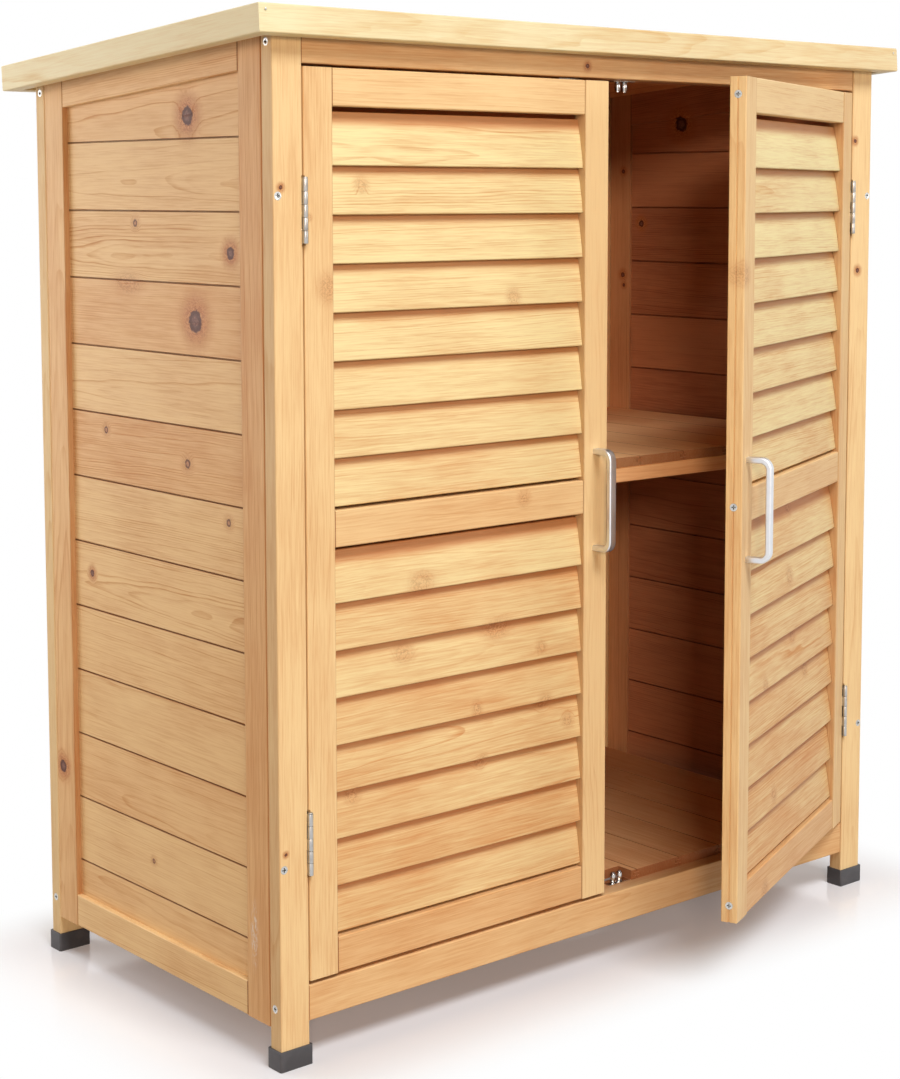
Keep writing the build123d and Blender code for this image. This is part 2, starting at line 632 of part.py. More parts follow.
# Roller catches: each has a plate with two riveted studs, and a roller turning on each stud
roller_low = CATCH_PLATE_THICKNESS + ROLLER_END_ROOM
roller_high = roller_low + ROLLER_HEIGHT
stud_high = roller_high + ROLLER_END_ROOM
catch_y = DOOR_THICKNESS + CATCH_DISTANCE
catch_levels = (("bottom", opening_bottom, 1), ("top", opening_top, -1))
with BuildPart(cabinet) as brackets:
    for level, seat, up in catch_levels:
        for side, side_name in SIDES:
            x = side * CATCH_OFFSET
            block(
                (x - CATCH_PLATE_LENGTH / 2, x + CATCH_PLATE_LENGTH / 2),
                (catch_y - CATCH_PLATE_DEPTH / 2, catch_y + CATCH_PLATE_DEPTH / 2),
                (seat, seat + up * CATCH_PLATE_THICKNESS),
            )
            for shift in (-ROLLER_SPACING / 2, ROLLER_SPACING / 2):
                with Locations((x + shift, catch_y, seat + up * stud_high / 2)):
                    Cylinder(PIN_RADIUS, stud_high)
                with Locations((x + shift, catch_y, seat + up * (stud_high + STUD_HEAD_HEIGHT / 2))):
                    Cylinder(STUD_HEAD_RADIUS, STUD_HEAD_HEIGHT)
save(brackets, "catch_brackets")

for level, seat, up in catch_levels:
    for side, side_name in SIDES:
        for shift, place in ((-ROLLER_SPACING / 2, "near"), (ROLLER_SPACING / 2, "far")):
            x = side * (CATCH_OFFSET + shift)
            with BuildPart(cabinet) as roller:
                with Locations((x, catch_y, seat + up * (roller_low + roller_high) / 2)):
                    Cylinder(ROLLER_RADIUS, ROLLER_HEIGHT)
                    Cylinder(PIN_RADIUS + PIN_ROOM, ROLLER_HEIGHT, mode=Mode.SUBTRACT)
            save(roller, f"{level}_{side_name}_{place}_roller")

# Screws of the frame: through the posts, and through the hinge leaves into the posts
with BuildPart(cabinet) as frame_screws:
    for side, side_name in SIDES:
        for end in ("front", "rear"):
            with Locations(*face_screws(side, end)):
                timber_screw(POST_FACE_SCREW_LENGTH)
            with Locations(*side_screws(side, end)):
                timber_screw(POST_SIDE_SCREW_LENGTH)
        with Locations(*leaf_screws(side * opening_half, 0, (-side, 0, 0))):
            leaf_screw()
save(frame_screws, "frame_screws")

# Louvre section: its lower front edge stands forward, and its upper edge leans back behind the next one
louvre_pitch = (panel_height - LOUVRE_BOTTOM_GAP - LOUVRE_TOP_GAP - LOUVRE_OVERLAP) / LOUVRES_PER_PANEL
louvre_height = louvre_pitch + LOUVRE_OVERLAP
louvre_lean = DOOR_THICKNESS - LOUVRE_SETBACK - LOUVRE_THICKNESS - LOUVRE_BACK_MARGIN
louvre_foot = door_front + LOUVRE_SETBACK
panel_near = door_near + DOOR_STILE_WIDTH
panel_far = door_far - DOOR_STILE_WIDTH
rail_lows = [door_bottom + index * (DOOR_RAIL_HEIGHT + panel_height) for index in range(3)]
rail_names = ("bottom", "middle", "top")
handle_s = door_far - DOOR_STILE_WIDTH / 2
handle_leg = HANDLE_LENGTH / 2 - HANDLE_BAR / 2


def louvre_heights():
    """Heights of the lower edges of a door's louvres."""
    heights = []
    for rail_low in rail_lows[:-1]:
        start = rail_low + DOOR_RAIL_HEIGHT + LOUVRE_BOTTOM_GAP
        heights += [start + louvre_pitch * index for index in range(LOUVRES_PER_PANEL)]
    return heights


def louvre_section(section, low, room=0.0):
    """Draws a louvre's section at its lower edge's height, or with room that of its housing."""
    foot = (louvre_foot, low)
    head = (louvre_foot + louvre_lean, low + louvre_height)
    crown = (louvre_foot + louvre_lean / 2 - LOUVRE_CROWN, low + louvre_height / 2)
    with BuildSketch(section) as slat:
        with BuildLine():
            ThreePointArc(foot, crown, head)
            Polyline(
                head,
                (head[0] + LOUVRE_THICKNESS, head[1]),
                (foot[0] + LOUVRE_THICKNESS, foot[1]),
                foot,
            )
        make_face()
        fillet(slat.vertices(), LOUVRE_ROUND)
        if room:
            offset(amount=room, mode=Mode.REPLACE)
    return slat.sketch


def build_door(side, side_name, angle):
    """Every piece of one door, turned about its hinge axis to the angle at which it rests."""
    turn = radians(side * angle)
    hinge = (side * hinge_x, front_y - HINGE_AXIS_PROJECTION, 0)
    door = Plane(origin=hinge, x_dir=(cos(turn), sin(turn), 0), z_dir=(0, 0, 1))
    along = Axis((0, 0, 0), door.x_dir)
    middle_y = (door_front + door_back) / 2
    rail_middles = [low + DOOR_RAIL_HEIGHT / 2 for low in rail_lows]
    near_screws = [facing(-side * door_near, middle_y, z, (side, 0, 0)) for z in rail_middles]
    far_screws = [facing(-side * door_far, middle_y, z, (-side, 0, 0)) for z in rail_middles]
    bolt_heights = (HANDLE_HEIGHT - handle_leg, HANDLE_HEIGHT + handle_leg)

    def bolts(room=0.0, mode=Mode.ADD):
        """The bolts that hold the handle, from the back of the stile into the handle's legs."""
        for z in bolt_heights:
            with Locations(facing(-side * handle_s, door_back, z, (0, 1, 0))):
                length = DOOR_THICKNESS + HANDLE_SCREW_GRIP
                top = (Align.CENTER, Align.CENTER, Align.MAX)
                Cylinder(HANDLE_SCREW_RADIUS + room, length + room, align=top, mode=mode)

    def section_at(s):
        """The plane across the door at a distance from its hinge axis, facing along the door."""
        return Plane(origin=door.from_local_coords((-side * s, 0, 0)), x_dir=door.y_dir, z_dir=door.x_dir)

    def housings(s, depth):
        """Cuts the housings of the louvres' ends into a stile, from one distance along the door."""
        for low in louvre_heights():
            housing = louvre_section(section_at(s), low, LOUVRE_ROOM)
            extrude(housing, amount=depth, mode=Mode.SUBTRACT)

    with BuildPart(door) as hinge_stile:
        block((-side * door_near, -side * panel_near), (door_front, door_back), (door_bottom, door_top))
        fillet(hinge_stile.edges().filter_by(Axis.Z), EDGE_ROUND)
        for middle in hinge_heights:
            block(
                (-side * door_near, -side * (door_near + LEAF_THICKNESS + LEAF_ROOM)),
                (door_front, door_front + LEAF_DEPTH + LEAF_ROOM),
                (middle - leaf_recess_half, middle + leaf_recess_half),
                Mode.SUBTRACT,
            )
        with Locations(*near_screws):
            timber_screw(DOOR_SCREW_LENGTH, SCREW_ROOM, Mode.SUBTRACT)
        with Locations(*leaf_screws(-side * door_near, door_front, (side, 0, 0))):
            leaf_screw(SCREW_ROOM, Mode.SUBTRACT)
        housings(panel_near, side * LOUVRE_HOUSING)
    save(hinge_stile, f"{side_name}_door_hinge_stile")

    with BuildPart(door) as meeting_stile:
        block((-side * panel_far, -side * door_far), (door_front, door_back), (door_bottom, door_top))
        fillet(meeting_stile.edges().filter_by(Axis.Z), EDGE_ROUND)
        block(
            (-side * (door_far - EDGE_GROOVE_DEPTH), -side * door_far),
            (middle_y - EDGE_GROOVE_WIDTH / 2, middle_y + EDGE_GROOVE_WIDTH / 2),
            (door_bottom, door_top),
            Mode.SUBTRACT,
        )
        with Locations(*far_screws):
            timber_screw(DOOR_SCREW_LENGTH, SCREW_ROOM, Mode.SUBTRACT)
        bolts(SCREW_ROOM, Mode.SUBTRACT)
        housings(panel_far, -side * LOUVRE_HOUSING)
    save(meeting_stile, f"{side_name}_door_meeting_stile")

    for name, low in zip(rail_names, rail_lows):
        with BuildPart(door) as rail:
            block(
                (-side * panel_near, -side * panel_far),
                (door_front + DOOR_RAIL_RECESS, door_back - DOOR_RAIL_RECESS),
                (low, low + DOOR_RAIL_HEIGHT),
            )
            fillet(rail.edges(), EDGE_ROUND)
            with Locations(*near_screws, *far_screws):
                timber_screw(DOOR_SCREW_LENGTH, SCREW_ROOM, Mode.SUBTRACT)
        save(rail, f"{side_name}_door_{name}_rail")

    with BuildPart() as louvres:
        for low in louvre_heights():
            slat = louvre_section(section_at(panel_near - LOUVRE_HOUSING), low)
            extrude(slat, amount=-side * (panel_far - panel_near + 2 * LOUVRE_HOUSING))
    save(louvres, f"{side_name}_door_louvres")

    grip = Plane(
        origin=door.from_local_coords((-side * handle_s - HANDLE_WIDTH / 2, door_front, HANDLE_HEIGHT)),
        x_dir=door.y_dir,
        z_dir=door.x_dir,
    )
    inside_corner = HANDLE_CORNER - HANDLE_BAR
    with BuildPart(door) as handle:
        with BuildSketch(grip):
            with Locations(((HANDLE_CORNER - HANDLE_PROJECTION) / 2, 0)):
                RectangleRounded(HANDLE_PROJECTION + HANDLE_CORNER, HANDLE_LENGTH, HANDLE_CORNER)
            reach = HANDLE_PROJECTION - HANDLE_BAR
            with Locations(((HANDLE_CORNER - reach) / 2, 0)):
                RectangleRounded(
                    reach + HANDLE_CORNER, HANDLE_LENGTH - 2 * HANDLE_BAR, inside_corner, mode=Mode.SUBTRACT
                )
            with Locations((HANDLE_CORNER, 0)):
                Rectangle(2 * HANDLE_CORNER, HANDLE_LENGTH, mode=Mode.SUBTRACT)
        extrude(amount=HANDLE_WIDTH)
        outline = handle.faces().filter_by(along).edges()
        bar_edges = outline.filter_by(lambda edge: door.to_local_coords(edge).center().Y < door_front - 0.01)
        fillet(bar_edges, HANDLE_ROUND)
        bolts(SCREW_ROOM, Mode.SUBTRACT)
    save(handle, f"{side_name}_door_handle")

    with BuildPart(door) as door_leaves:
        hinge_leaves(-side, 1)
    save(door_leaves, f"{side_name}_hinge_door_leaves")

    catch_s = hinge_x - CATCH_OFFSET
    with BuildPart(door) as tongues:
        for end, inward in ((door_bottom, 1), (door_top, -1)):
            x = -side * catch_s
            nose_y = door_back + TONGUE_BLADE_LENGTH
            blade = (end + inward * TONGUE_BLADE_INSET, end + inward * (TONGUE_BLADE_INSET + TONGUE_BLADE_HEIGHT))
            block(
                (x - TONGUE_PLATE_WIDTH / 2, x + TONGUE_PLATE_WIDTH / 2),
                (door_back, door_back + CATCH_PLATE_THICKNESS),
                (end + inward * TONGUE_PLATE_INSET, end + inward * (TONGUE_PLATE_INSET + TONGUE_PLATE_HEIGHT)),
            )
            block(
                (x - TONGUE_BLADE_THICKNESS / 2, x + TONGUE_BLADE_THICKNESS / 2),
                (door_back, nose_y),
                blade,
            )
            with Locations((x, nose_y, sum(blade) / 2)):
                Cylinder(TONGUE_NOSE_RADIUS, TONGUE_BLADE_HEIGHT)
    save(tongues, f"{side_name}_door_catch_tongues")

    with BuildPart(door) as door_screws:
        with Locations(*near_screws, *far_screws):
            timber_screw(DOOR_SCREW_LENGTH)
        with Locations(*leaf_screws(-side * door_near, door_front, (side, 0, 0))):
            leaf_screw()
        bolts()
        for z in bolt_heights:
            with Locations(facing(-side * handle_s, door_back, z, (0, 1, 0))):
                base = (Align.CENTER, Align.CENTER, Align.MIN)
                Cylinder(HANDLE_SCREW_HEAD_RADIUS, HANDLE_SCREW_HEAD_HEIGHT, align=base)
    save(door_screws, f"{side_name}_door_screws")


build_door(-1, "left", LEFT_DOOR_ANGLE)
build_door(1, "right", RIGHT_DOOR_ANGLE)

print("roof", round(roof_width, 1), "by", round(roof_depth, 1), "slope", round(degrees(slope), 2))
print("doors", round(door_width, 1), "by", round(door_top - door_bottom, 1), "louvre pitch", round(louvre_pitch, 2))
print("front of the posts at y", round(front_y, 3))
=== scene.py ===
import json
import math
import random

import bmesh
import bpy
from mathutils import Matrix, Vector

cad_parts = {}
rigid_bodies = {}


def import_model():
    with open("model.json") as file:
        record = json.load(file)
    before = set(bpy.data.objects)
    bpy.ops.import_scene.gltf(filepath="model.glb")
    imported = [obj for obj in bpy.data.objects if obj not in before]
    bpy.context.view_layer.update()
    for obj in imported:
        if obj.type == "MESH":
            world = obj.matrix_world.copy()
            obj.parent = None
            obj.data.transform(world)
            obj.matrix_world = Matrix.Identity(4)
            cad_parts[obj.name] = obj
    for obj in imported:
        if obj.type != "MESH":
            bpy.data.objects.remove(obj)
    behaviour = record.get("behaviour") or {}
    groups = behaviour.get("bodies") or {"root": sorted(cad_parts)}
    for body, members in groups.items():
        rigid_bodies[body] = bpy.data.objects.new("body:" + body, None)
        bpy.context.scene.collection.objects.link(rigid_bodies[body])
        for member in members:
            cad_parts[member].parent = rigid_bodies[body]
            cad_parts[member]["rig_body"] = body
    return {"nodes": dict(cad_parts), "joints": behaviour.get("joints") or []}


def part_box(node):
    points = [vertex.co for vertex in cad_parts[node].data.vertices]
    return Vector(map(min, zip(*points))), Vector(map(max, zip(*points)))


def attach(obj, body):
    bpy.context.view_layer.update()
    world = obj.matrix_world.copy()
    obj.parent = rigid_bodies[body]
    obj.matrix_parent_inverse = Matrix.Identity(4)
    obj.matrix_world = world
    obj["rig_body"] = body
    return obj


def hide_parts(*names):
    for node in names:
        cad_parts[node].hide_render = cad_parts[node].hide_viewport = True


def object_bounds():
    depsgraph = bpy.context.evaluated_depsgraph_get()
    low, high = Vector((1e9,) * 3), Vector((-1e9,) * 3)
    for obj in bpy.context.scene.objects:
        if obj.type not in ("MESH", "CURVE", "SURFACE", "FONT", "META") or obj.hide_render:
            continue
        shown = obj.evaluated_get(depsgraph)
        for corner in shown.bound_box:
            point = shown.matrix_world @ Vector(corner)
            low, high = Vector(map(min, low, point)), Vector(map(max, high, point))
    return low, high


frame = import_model()
cad_low, cad_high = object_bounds()
nodes = frame["nodes"]
joints = {joint["name"]: joint for joint in frame["joints"]}

# Camera, as the photograph was taken: metres, degrees and pixels of the photograph
PHOTO_WIDTH = 900
PHOTO_HEIGHT = 1079
CAMERA_PLACE = (-1.4619, -1.6486, 0.7991)
CAMERA_YAW = 40.75
CAMERA_PITCH = 5.48
FOCAL_PIXELS = 2072.9
CENTRE_PIXEL = (488.5, 394.6)
SENSOR = 36.0

# Light: a faint sky and four lamps, in watts and metres
SKY_STRENGTH = 0.09
SKY_COLOUR = (1.0, 0.78, 0.6)
WHITE = (1.0, 1.0, 1.0)
WARM = (1.0, 0.74, 0.56)
KEY_POWER = 314.0
KEY_PLACE = (-0.8, -3.9, 5.6)
KEY_AIM = (0.0, -0.1, 0.45)
KEY_SIZE = (3.2, 2.0)
FILL_POWER = 9.6
FILL_PLACE = (-1.15, 1.15, 0.85)
FILL_AIM = (-0.41, 0.1, 0.5)
FILL_SIZE = (0.8, 1.2)
FRONT_POWER = 132.0
FRONT_PLACE = (-3.8, -4.9, 2.1)
FRONT_AIM = (0.1, 0.0, 0.5)
FRONT_SIZE = (0.8, 0.8)
RIGHT_POWER = 24.0
RIGHT_PLACE = (3.2, -3.6, 1.6)
RIGHT_AIM = (0.1, 0.0, 0.5)
RIGHT_SIZE = (1.2, 1.2)

# Floor: its reach, what it gives back as light, what is seen of it, and how far from the feet it turns white
FLOOR_REACH = 14.0
FLOOR_BOUNCE = (0.38, 0.32, 0.27)
FLOOR_SEEN = (0.78, 0.81, 0.86)
FLOOR_ROUGH = 0.14
FLOOR_GLOSS = 0.35
FLOOR_GLOW = 0.16
FLOOR_GLOW_COLOUR = (1.0, 0.86, 0.8)
FLOOR_FADE = (0.0, 0.13)

# Slope of the roof, from its fall and depth in millimetres, and the angle at which the right door rests
ROOF_FALL = 33.0
ROOF_DEPTH = 465.0
ROOF_SLOPE = math.atan2(ROOF_FALL, ROOF_DEPTH)
RIGHT_DOOR_TURN = math.radians(-joints["right_door_swing"]["range_deg"][0])

# The inside of the cabinet, where the wood is painted darker and redder as shade: within the outer faces of
# the walls
INSIDE_MARGIN = 0.003
INSIDE_FRONT = 0.010
INSIDE_BOTTOM = 0.030
INSIDE_TOP = 2.0
outer_low = Vector(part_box("left_wall_planks")[0])
outer_high = Vector(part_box("right_wall_planks")[1])
front_post_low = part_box("front_left_post")[0]
rear_planks_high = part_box("rear_wall_planks")[1]
inside_low = Vector((outer_low.x + INSIDE_MARGIN, front_post_low.y + INSIDE_FRONT, INSIDE_BOTTOM))
inside_high = Vector((outer_high.x - INSIDE_MARGIN, rear_planks_high.y - INSIDE_MARGIN, INSIDE_TOP))

# Places of boards in their log, in metres: most are cut beside the pith, and lie nearer to its level
LOG_LENGTH = 9
PITH_DISTANCE = (0.02, 0.06)
PITH_SHIFT = 0.03
RIFT_SHARE = 0.7
RIFT_SHIFT = (0.05, 0.10)
RIFT_DEPTH = 0.4

# Decimals of a metre to which corners of one solid agree
WELD = 5

# Timbers whose tone is picked: planks of the left wall by their height in metres, and rails by name, which
# are deepened and warmed as painted shade
PALE_PLANKS = (0.42, 0.62, 0.74, 0.82)
RICH_PLANKS = (0.55, 0.69)
SHADED_RAILS = ("front_top_rail", "front_bottom_rail")

# Tone, which is depth of colour, and warmth of boards: pairs are the least and the spread of what is drawn
PLANK_TONE = (0.35, 0.3)
PALE_TONE = (0.25, 0.4)
PALE_WARMTH = 0.3
PALE_SHIFT = 0.3
RICH_TONE = (0.7, 0.2)
RICH_WARMTH = 0.9
POST_TONE = 0.4
POST_WARMTH = 0.3

# How much deeper and warmer the right end of the front fascia is
FASCIA_TONE = 0.3
FASCIA_WARMTH = 0.6

# Louvres, and rails of the doors and the frame: shares of what is drawn, and how they deepen and warm
# downwards as painted shade
LOUVRE_TONE = 0.35
LOUVRE_SHADE_FADE = 1.1
LOUVRE_WARMTH = 0.3
LOUVRE_SHADE_WARMTH = 1.1

# Where a louvre tucks under the next one, as shares of its height, and how strongly the painted shade under
# the next louvre shows there
TUCK_SHADE_SPAN = (0.66, 0.86)
TUCK_SHADE_SHARE = 0.75

# How far a face leans towards the end of its board where it starts to show end grain, and where it fully does
END_FROM = 0.06
END_FULL = 0.6

# Timbers whose long edges are darkened as end grain is, which paints shade in the seams between boards
JOINTED = ("_planks", "_boards", "_wall_stiles")

# How dark other faces are: edges of stiles and sides of posts, as painted shade, and the rear half of each
# floor board
STILE_EDGE_SHADE = 0.55
POST_SIDE_SHADE = 0.25
FLOOR_REAR = 0.6

# How much of the painted inside shade the stiles of the walls get
STILE_INSIDE_SHADE = 0.65

# Growth rings: how many to a metre, how far they stray from round, and how knots push them aside
RINGS = 430.0
RING_WANDER = 0.022
RING_RIPPLE = 0.0018
RING_STRAY = 3.0
LOG_TAPER = 0.02
KNOT_PUSH = 0.0065
KNOT_PUSH_SPAN = (0.5, 3.4)

# Late wood: its rise and fall within a year, and how much bolder some years and patches are
LATE_RISE = (0.5, 0.94)
LATE_FALL = (1.0, 0.95)
BOLD_POWER = 1.8
BOLD_LEAST = 0.12
PATCH_SPAN = (0.36, 0.62)
PATCH_LEAST = 0.35

# Grain of the wood: steps to a metre along, across and through a board
WANDER_GRAIN = (2.0, 9.0, 9.0)
RIPPLE_GRAIN = (16.0, 80.0, 80.0)
STRAY_GRAIN = (0.6, 38.0, 38.0)
PATCH_GRAIN = (1.6, 13.0, 13.0)
BEND_GRAIN = (7.0, 26.0, 26.0)
BEND_REACH = (0.0, 0.004, 0.004)
FIBRE_GRAIN = (20.0, 620.0, 620.0)
HAIR_GRAIN = (26.0, 1300.0, 1300.0)
FLECK_GRAIN = (14.0, 420.0, 420.0)
STREAK_GRAIN = (5.0, 120.0, 120.0)
CLOUD_GRAIN = (8.0, 17.0, 17.0)

# Where each kind of grain starts to show and fully shows, and its share in the depth of colour
FIBRE_SPAN = (0.36, 0.66)
HAIR_SPAN = (0.58, 0.72)
FLECK_SPAN = (0.56, 0.70)
STREAK_SPAN = (0.34, 0.68)
CLOUD_SPAN = (0.34, 0.70)
DEPTH_SPAN = (0.1, 1.35)
FIBRE_SHARE = 0.22
HAIR_SHARE = 0.12
FLECK_SHARE = -0.1
CLOUD_SHARE = 0.22
TONE_SHARE = 0.4
# The end share also carries painted shade on edges of stiles, seams and sides of posts
END_AND_SHADE_SHARE = 0.4
WARMTH_SHARE = 0.2
END_AND_SHADE_STAIN = 0.65

# Relief and sheen of the wood: shares of its features, depth in metres, and least and most roughness
LATE_RELIEF = 0.4
FIBRE_RELIEF = 0.9
END_RELIEF = 1.4
PINE_RELIEF = 0.00016
PINE_BUMP = 0.8
LATE_ROUGH = 0.6
END_ROUGH = 0.5
ROUGH_SPAN = (0.2, 1.4)
PINE_ROUGH = (0.42, 0.66)
SOFT_GLOSS = 0.2

# Knots: where halo, swirl, heart and rim start and end, in knot radii, and how ragged and swirled they are
HALO_SPAN = (0.9, 3.8)
SWIRL_SPAN = (0.8, 2.8)
HEART_SPAN = (0.95, 1.15)
RIM_SPAN = (0.35, 0.75)
RAGGED_GRAIN = (260, 260, 260)
RAGGED_SHARE = 0.7
SWIRL_GRAIN = (150, 150, 240)
SWIRL_TURNS = 4.5
SWIRL_WOBBLE = 30.0
DARK_LINE_SPAN = (0.2, 1.0)
DARK_LINE_SHARE = 0.6
PALE_LINE_SPAN = (-0.4, -1.0)
PALE_LINE_SHARE = 0.55
CRACK_GRAIN = (900, 900, 900)
CRACK_SPAN = (0.44, 0.62)

# Rubbed mark: how it fades towards its reach, and its flecks
SCUFF_FADE = (0.2, 1.0)
SCUFF_GRAIN = (300, 900, 160)
SCUFF_SPAN = (0.47, 0.60)

# Metal: its tarnish, how near other metal has to be for dirt and painted shade to gather, in metres, and its
# drawn lines
TARNISH_GRAIN = (110, 110, 110)
TARNISH_SPAN = (0.45, 0.75)
GRIME_AND_SHADE_REACH = 0.002
GRIME_AND_SHADE_SPAN = (0.4, 0.9)
GRIME_AND_SHADE_SHARE = 0.9
LINE_SPAN = (0.2, 0.8)
LINE_RELIEF = 0.00003
LINE_BUMP = 0.6

# Plastic: its eroded grain and its wear
EROSION_GRAIN = (1500, 1500, 1500)
EROSION_RELIEF = 0.00008
EROSION_BUMP = 0.5
WEAR_GRAIN = (60, 60, 60)
WEAR_SPAN = (0.4, 0.8)
WEAR_ROUGH_SPAN = (0.3, 0.7)
PLASTIC_ROUGH = (0.42, 0.56)

# Felt: granules to a metre, cloudy darker patches, and relief
GRANULES = 520.0
GRANULE_SPAN = (0.1, 0.95)
GRANULE_RELIEF = 0.0008
GRANULE_BUMP = 0.8
FELT_CLOUD_GRAIN = (7, 7, 7)
FELT_CLOUD_SPAN = (0.35, 0.7)
FELT_CLOUD_SHARE = 0.4
FELT_ROUGH = 0.93

# Rounded edges of metal, plastic and felt pieces: what counts as sharp or flat, and widths in metres
SHARP_ANGLE = math.radians(35)
FLAT_ANGLE = math.radians(1)
MERGE_REACH = 1e-6
SCREW_EDGE = 0.00025
HINGE_EDGE = 0.0003
CATCH_EDGE = 0.0002
ROLLER_EDGE = 0.0005
HANDLE_EDGE = 0.0002
FOOT_EDGE = 0.0006
FELT_EDGE = 0.0004

# Nails of the front fascia
NAIL_INSET = 0.007
NAIL_DROPS = (0.0055, 0.019)
NAIL_RADIUS = 0.0011
NAIL_DOME = 0.35
NAIL_SIDES = 16
NAIL_RINGS = 8

# Faces that knots lie on, and how deep knots go, in metres
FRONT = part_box("front_left_post")[0][1]
LEFT_PLANKS = -0.406
LEFT_STILES = -0.411
RIGHT_PLANKS = 0.4
RIGHT_STILES = 0.396
KNOT_DEPTH = 0.08
AJAR_DEPTH = 0.03


# Colours

def rgb(red, green, blue):
    """A colour written as it shows on a screen, 0 to 255."""
    linear = []
    for value in (red, green, blue):
        share = value / 255
        linear.append(share / 12.92 if share <= 0.04045 else ((share + 0.055) / 1.055) ** 2.4)
    return (*linear, 1.0)


WARM_PINE = rgb(216, 140, 80)
# Colour of end grain, also used for painted shade on edges, seams and sides of posts
END_GRAIN_AND_SHADE = rgb(116, 62, 34)
KNOT_HALO = rgb(188, 114, 64)
KNOT_DARK_LINE = rgb(138, 82, 46)
KNOT_PALE_LINE = rgb(250, 214, 158)
KNOT_CRACK = rgb(150, 108, 88)
KNOT_RIM = rgb(82, 44, 36)
SCUFFED = rgb(236, 226, 214)
TARNISH = rgb(126, 120, 114)
GRIME_AND_SHADE = rgb(50, 44, 40)
FELT_BITUMEN = rgb(38, 46, 42)
FELT_GRIT = rgb(92, 100, 92)
FELT_CLOUD = rgb(46, 50, 48)

# Kinds of knot: the heart's colour, and how strong heart, halo and swirl are
KNOT_KINDS = {
    "dark": {"heart": rgb(106, 70, 64), "solid": 0.95, "halo": 0.8, "swirl": 0.6},
    "eye": {"heart": rgb(200, 140, 96), "solid": 0.85, "halo": 0.3, "swirl": 0.4},
    "rough": {"heart": rgb(206, 146, 92), "solid": 0.0, "halo": 0.3, "swirl": 0.42},
}


# Node graphs

class Graph:
    """A node tree that is built one node at a time."""

    def __init__(self, tree):
        self.tree = tree
        self.tree.nodes.clear()

    def node(self, kind, inputs=None, **settings):
        """Adds a node, sets it, and links or fills its inputs."""
        made = self.tree.nodes.new(kind)
        for key, value in settings.items():
            setattr(made, key, value)
        for key, value in (inputs or {}).items():
            if isinstance(value, bpy.types.NodeSocket):
                self.tree.links.new(value, made.inputs[key])
            else:
                made.inputs[key].default_value = value
        return made

    def math(self, operation, first, second=0.0, third=0.0):
        """A number from one, two or three numbers."""
        inputs = {0: first, 1: second, 2: third}
        return self.node("ShaderNodeMath", inputs, operation=operation).outputs[0]

    def total(self, *terms):
        """The sum of values, each times its weight."""
        result = None
        for value, weight in terms:
            if result is None:
                result = self.math("MULTIPLY", value, weight)
            else:
                result = self.math("MULTIPLY_ADD", value, weight, result)
        return result

    def vector(self, operation, first, second=(0, 0, 0), third=(0, 0, 0)):
        """A vector from up to three vectors, or its length."""
        made = self.node("ShaderNodeVectorMath", {0: first, 1: second, 2: third}, operation=operation)
        return made.outputs["Value" if operation == "LENGTH" else "Vector"]

    def parts(self, vector):
        """The three numbers of a vector."""
        return self.node("ShaderNodeSeparateXYZ", {0: vector}).outputs

    def attribute(self, name, output="Vector"):
        """A value stored on the mesh."""
        return self.node("ShaderNodeAttribute", attribute_name=name).outputs[output]

    def place(self):
        """A point's place on its own object, which is the frame's place at rest."""
        return self.node("ShaderNodeTexCoord").outputs["Object"]

    def noise(self, place, stretch, detail, rough=0.5):
        """Noise whose grain is finer where the stretch is larger."""
        inputs = {"Vector": self.vector("MULTIPLY", place, stretch), "Scale": 1.0, "Detail": detail}
        inputs["Roughness"] = rough
        return self.node("ShaderNodeTexNoise", inputs).outputs["Fac"]

    def noise_colour(self, place, stretch):
        """Three noises at once, as a vector."""
        inputs = {"Vector": self.vector("MULTIPLY", place, stretch), "Scale": 1.0, "Detail": 1.0}
        return self.node("ShaderNodeTexNoise", inputs).outputs["Color"]

    def span(self, value, low, high, to_low=0.0, to_high=1.0):
        """Carries one span of a value over to another, smoothly, and holds it there."""
        inputs = {"Value": value, "From Min": low, "From Max": high, "To Min": to_low, "To Max": to_high}
        made = self.node("ShaderNodeMapRange", inputs, interpolation_type="SMOOTHSTEP")
        return made.outputs["Result"]

    def mix(self, share, first, second):
        """A colour between two: the node keeps its colours in sockets 6 and 7, and gives the third output."""
        inputs = {0: share, 6: first, 7: second}
        return self.node("ShaderNodeMix", inputs, data_type="RGBA").outputs[2]

    def bump(self, height, distance, strength):
        """A bumped normal."""
        inputs = {"Height": height, "Distance": distance, "Strength": strength}
        return self.node("ShaderNodeBump", inputs).outputs["Normal"]

    def offset(self, place, centre, reach):
        """Distance from a centre, in reaches along X, Y and Z."""
        scale = tuple(1 / value for value in reach)
        apart = self.vector("MULTIPLY", self.vector("SUBTRACT", place, centre), scale)
        return self.vector("LENGTH", apart)

    def surface(self, **inputs):
        """The shader that ends a material, with its sockets named by words joined by underscores."""
        named = {key.replace("_", " "): value for key, value in inputs.items()}
        shader = self.node("ShaderNodeBsdfPrincipled", named)
        self.node("ShaderNodeOutputMaterial", {"Surface": shader.outputs["BSDF"]})


def new_material(name):
    """A material and its empty node graph."""
    material = bpy.data.materials.new(name)
    material.use_nodes = True
    return material, Graph(material.node_tree)


# Pine

def knot_field(graph, place, knots):
    """Distance to the nearest knot in knot radii, with a ragged edge."""
    nearest = None
    for centre, radii in knots:
        distance = graph.offset(place, centre, radii)
        nearest = distance if nearest is None else graph.math("MINIMUM", nearest, distance)
    ragged = graph.noise(place, RAGGED_GRAIN, 2.0)
    return graph.total((nearest, 1.0), (graph.math("SUBTRACT", ragged, 0.5), RAGGED_SHARE))


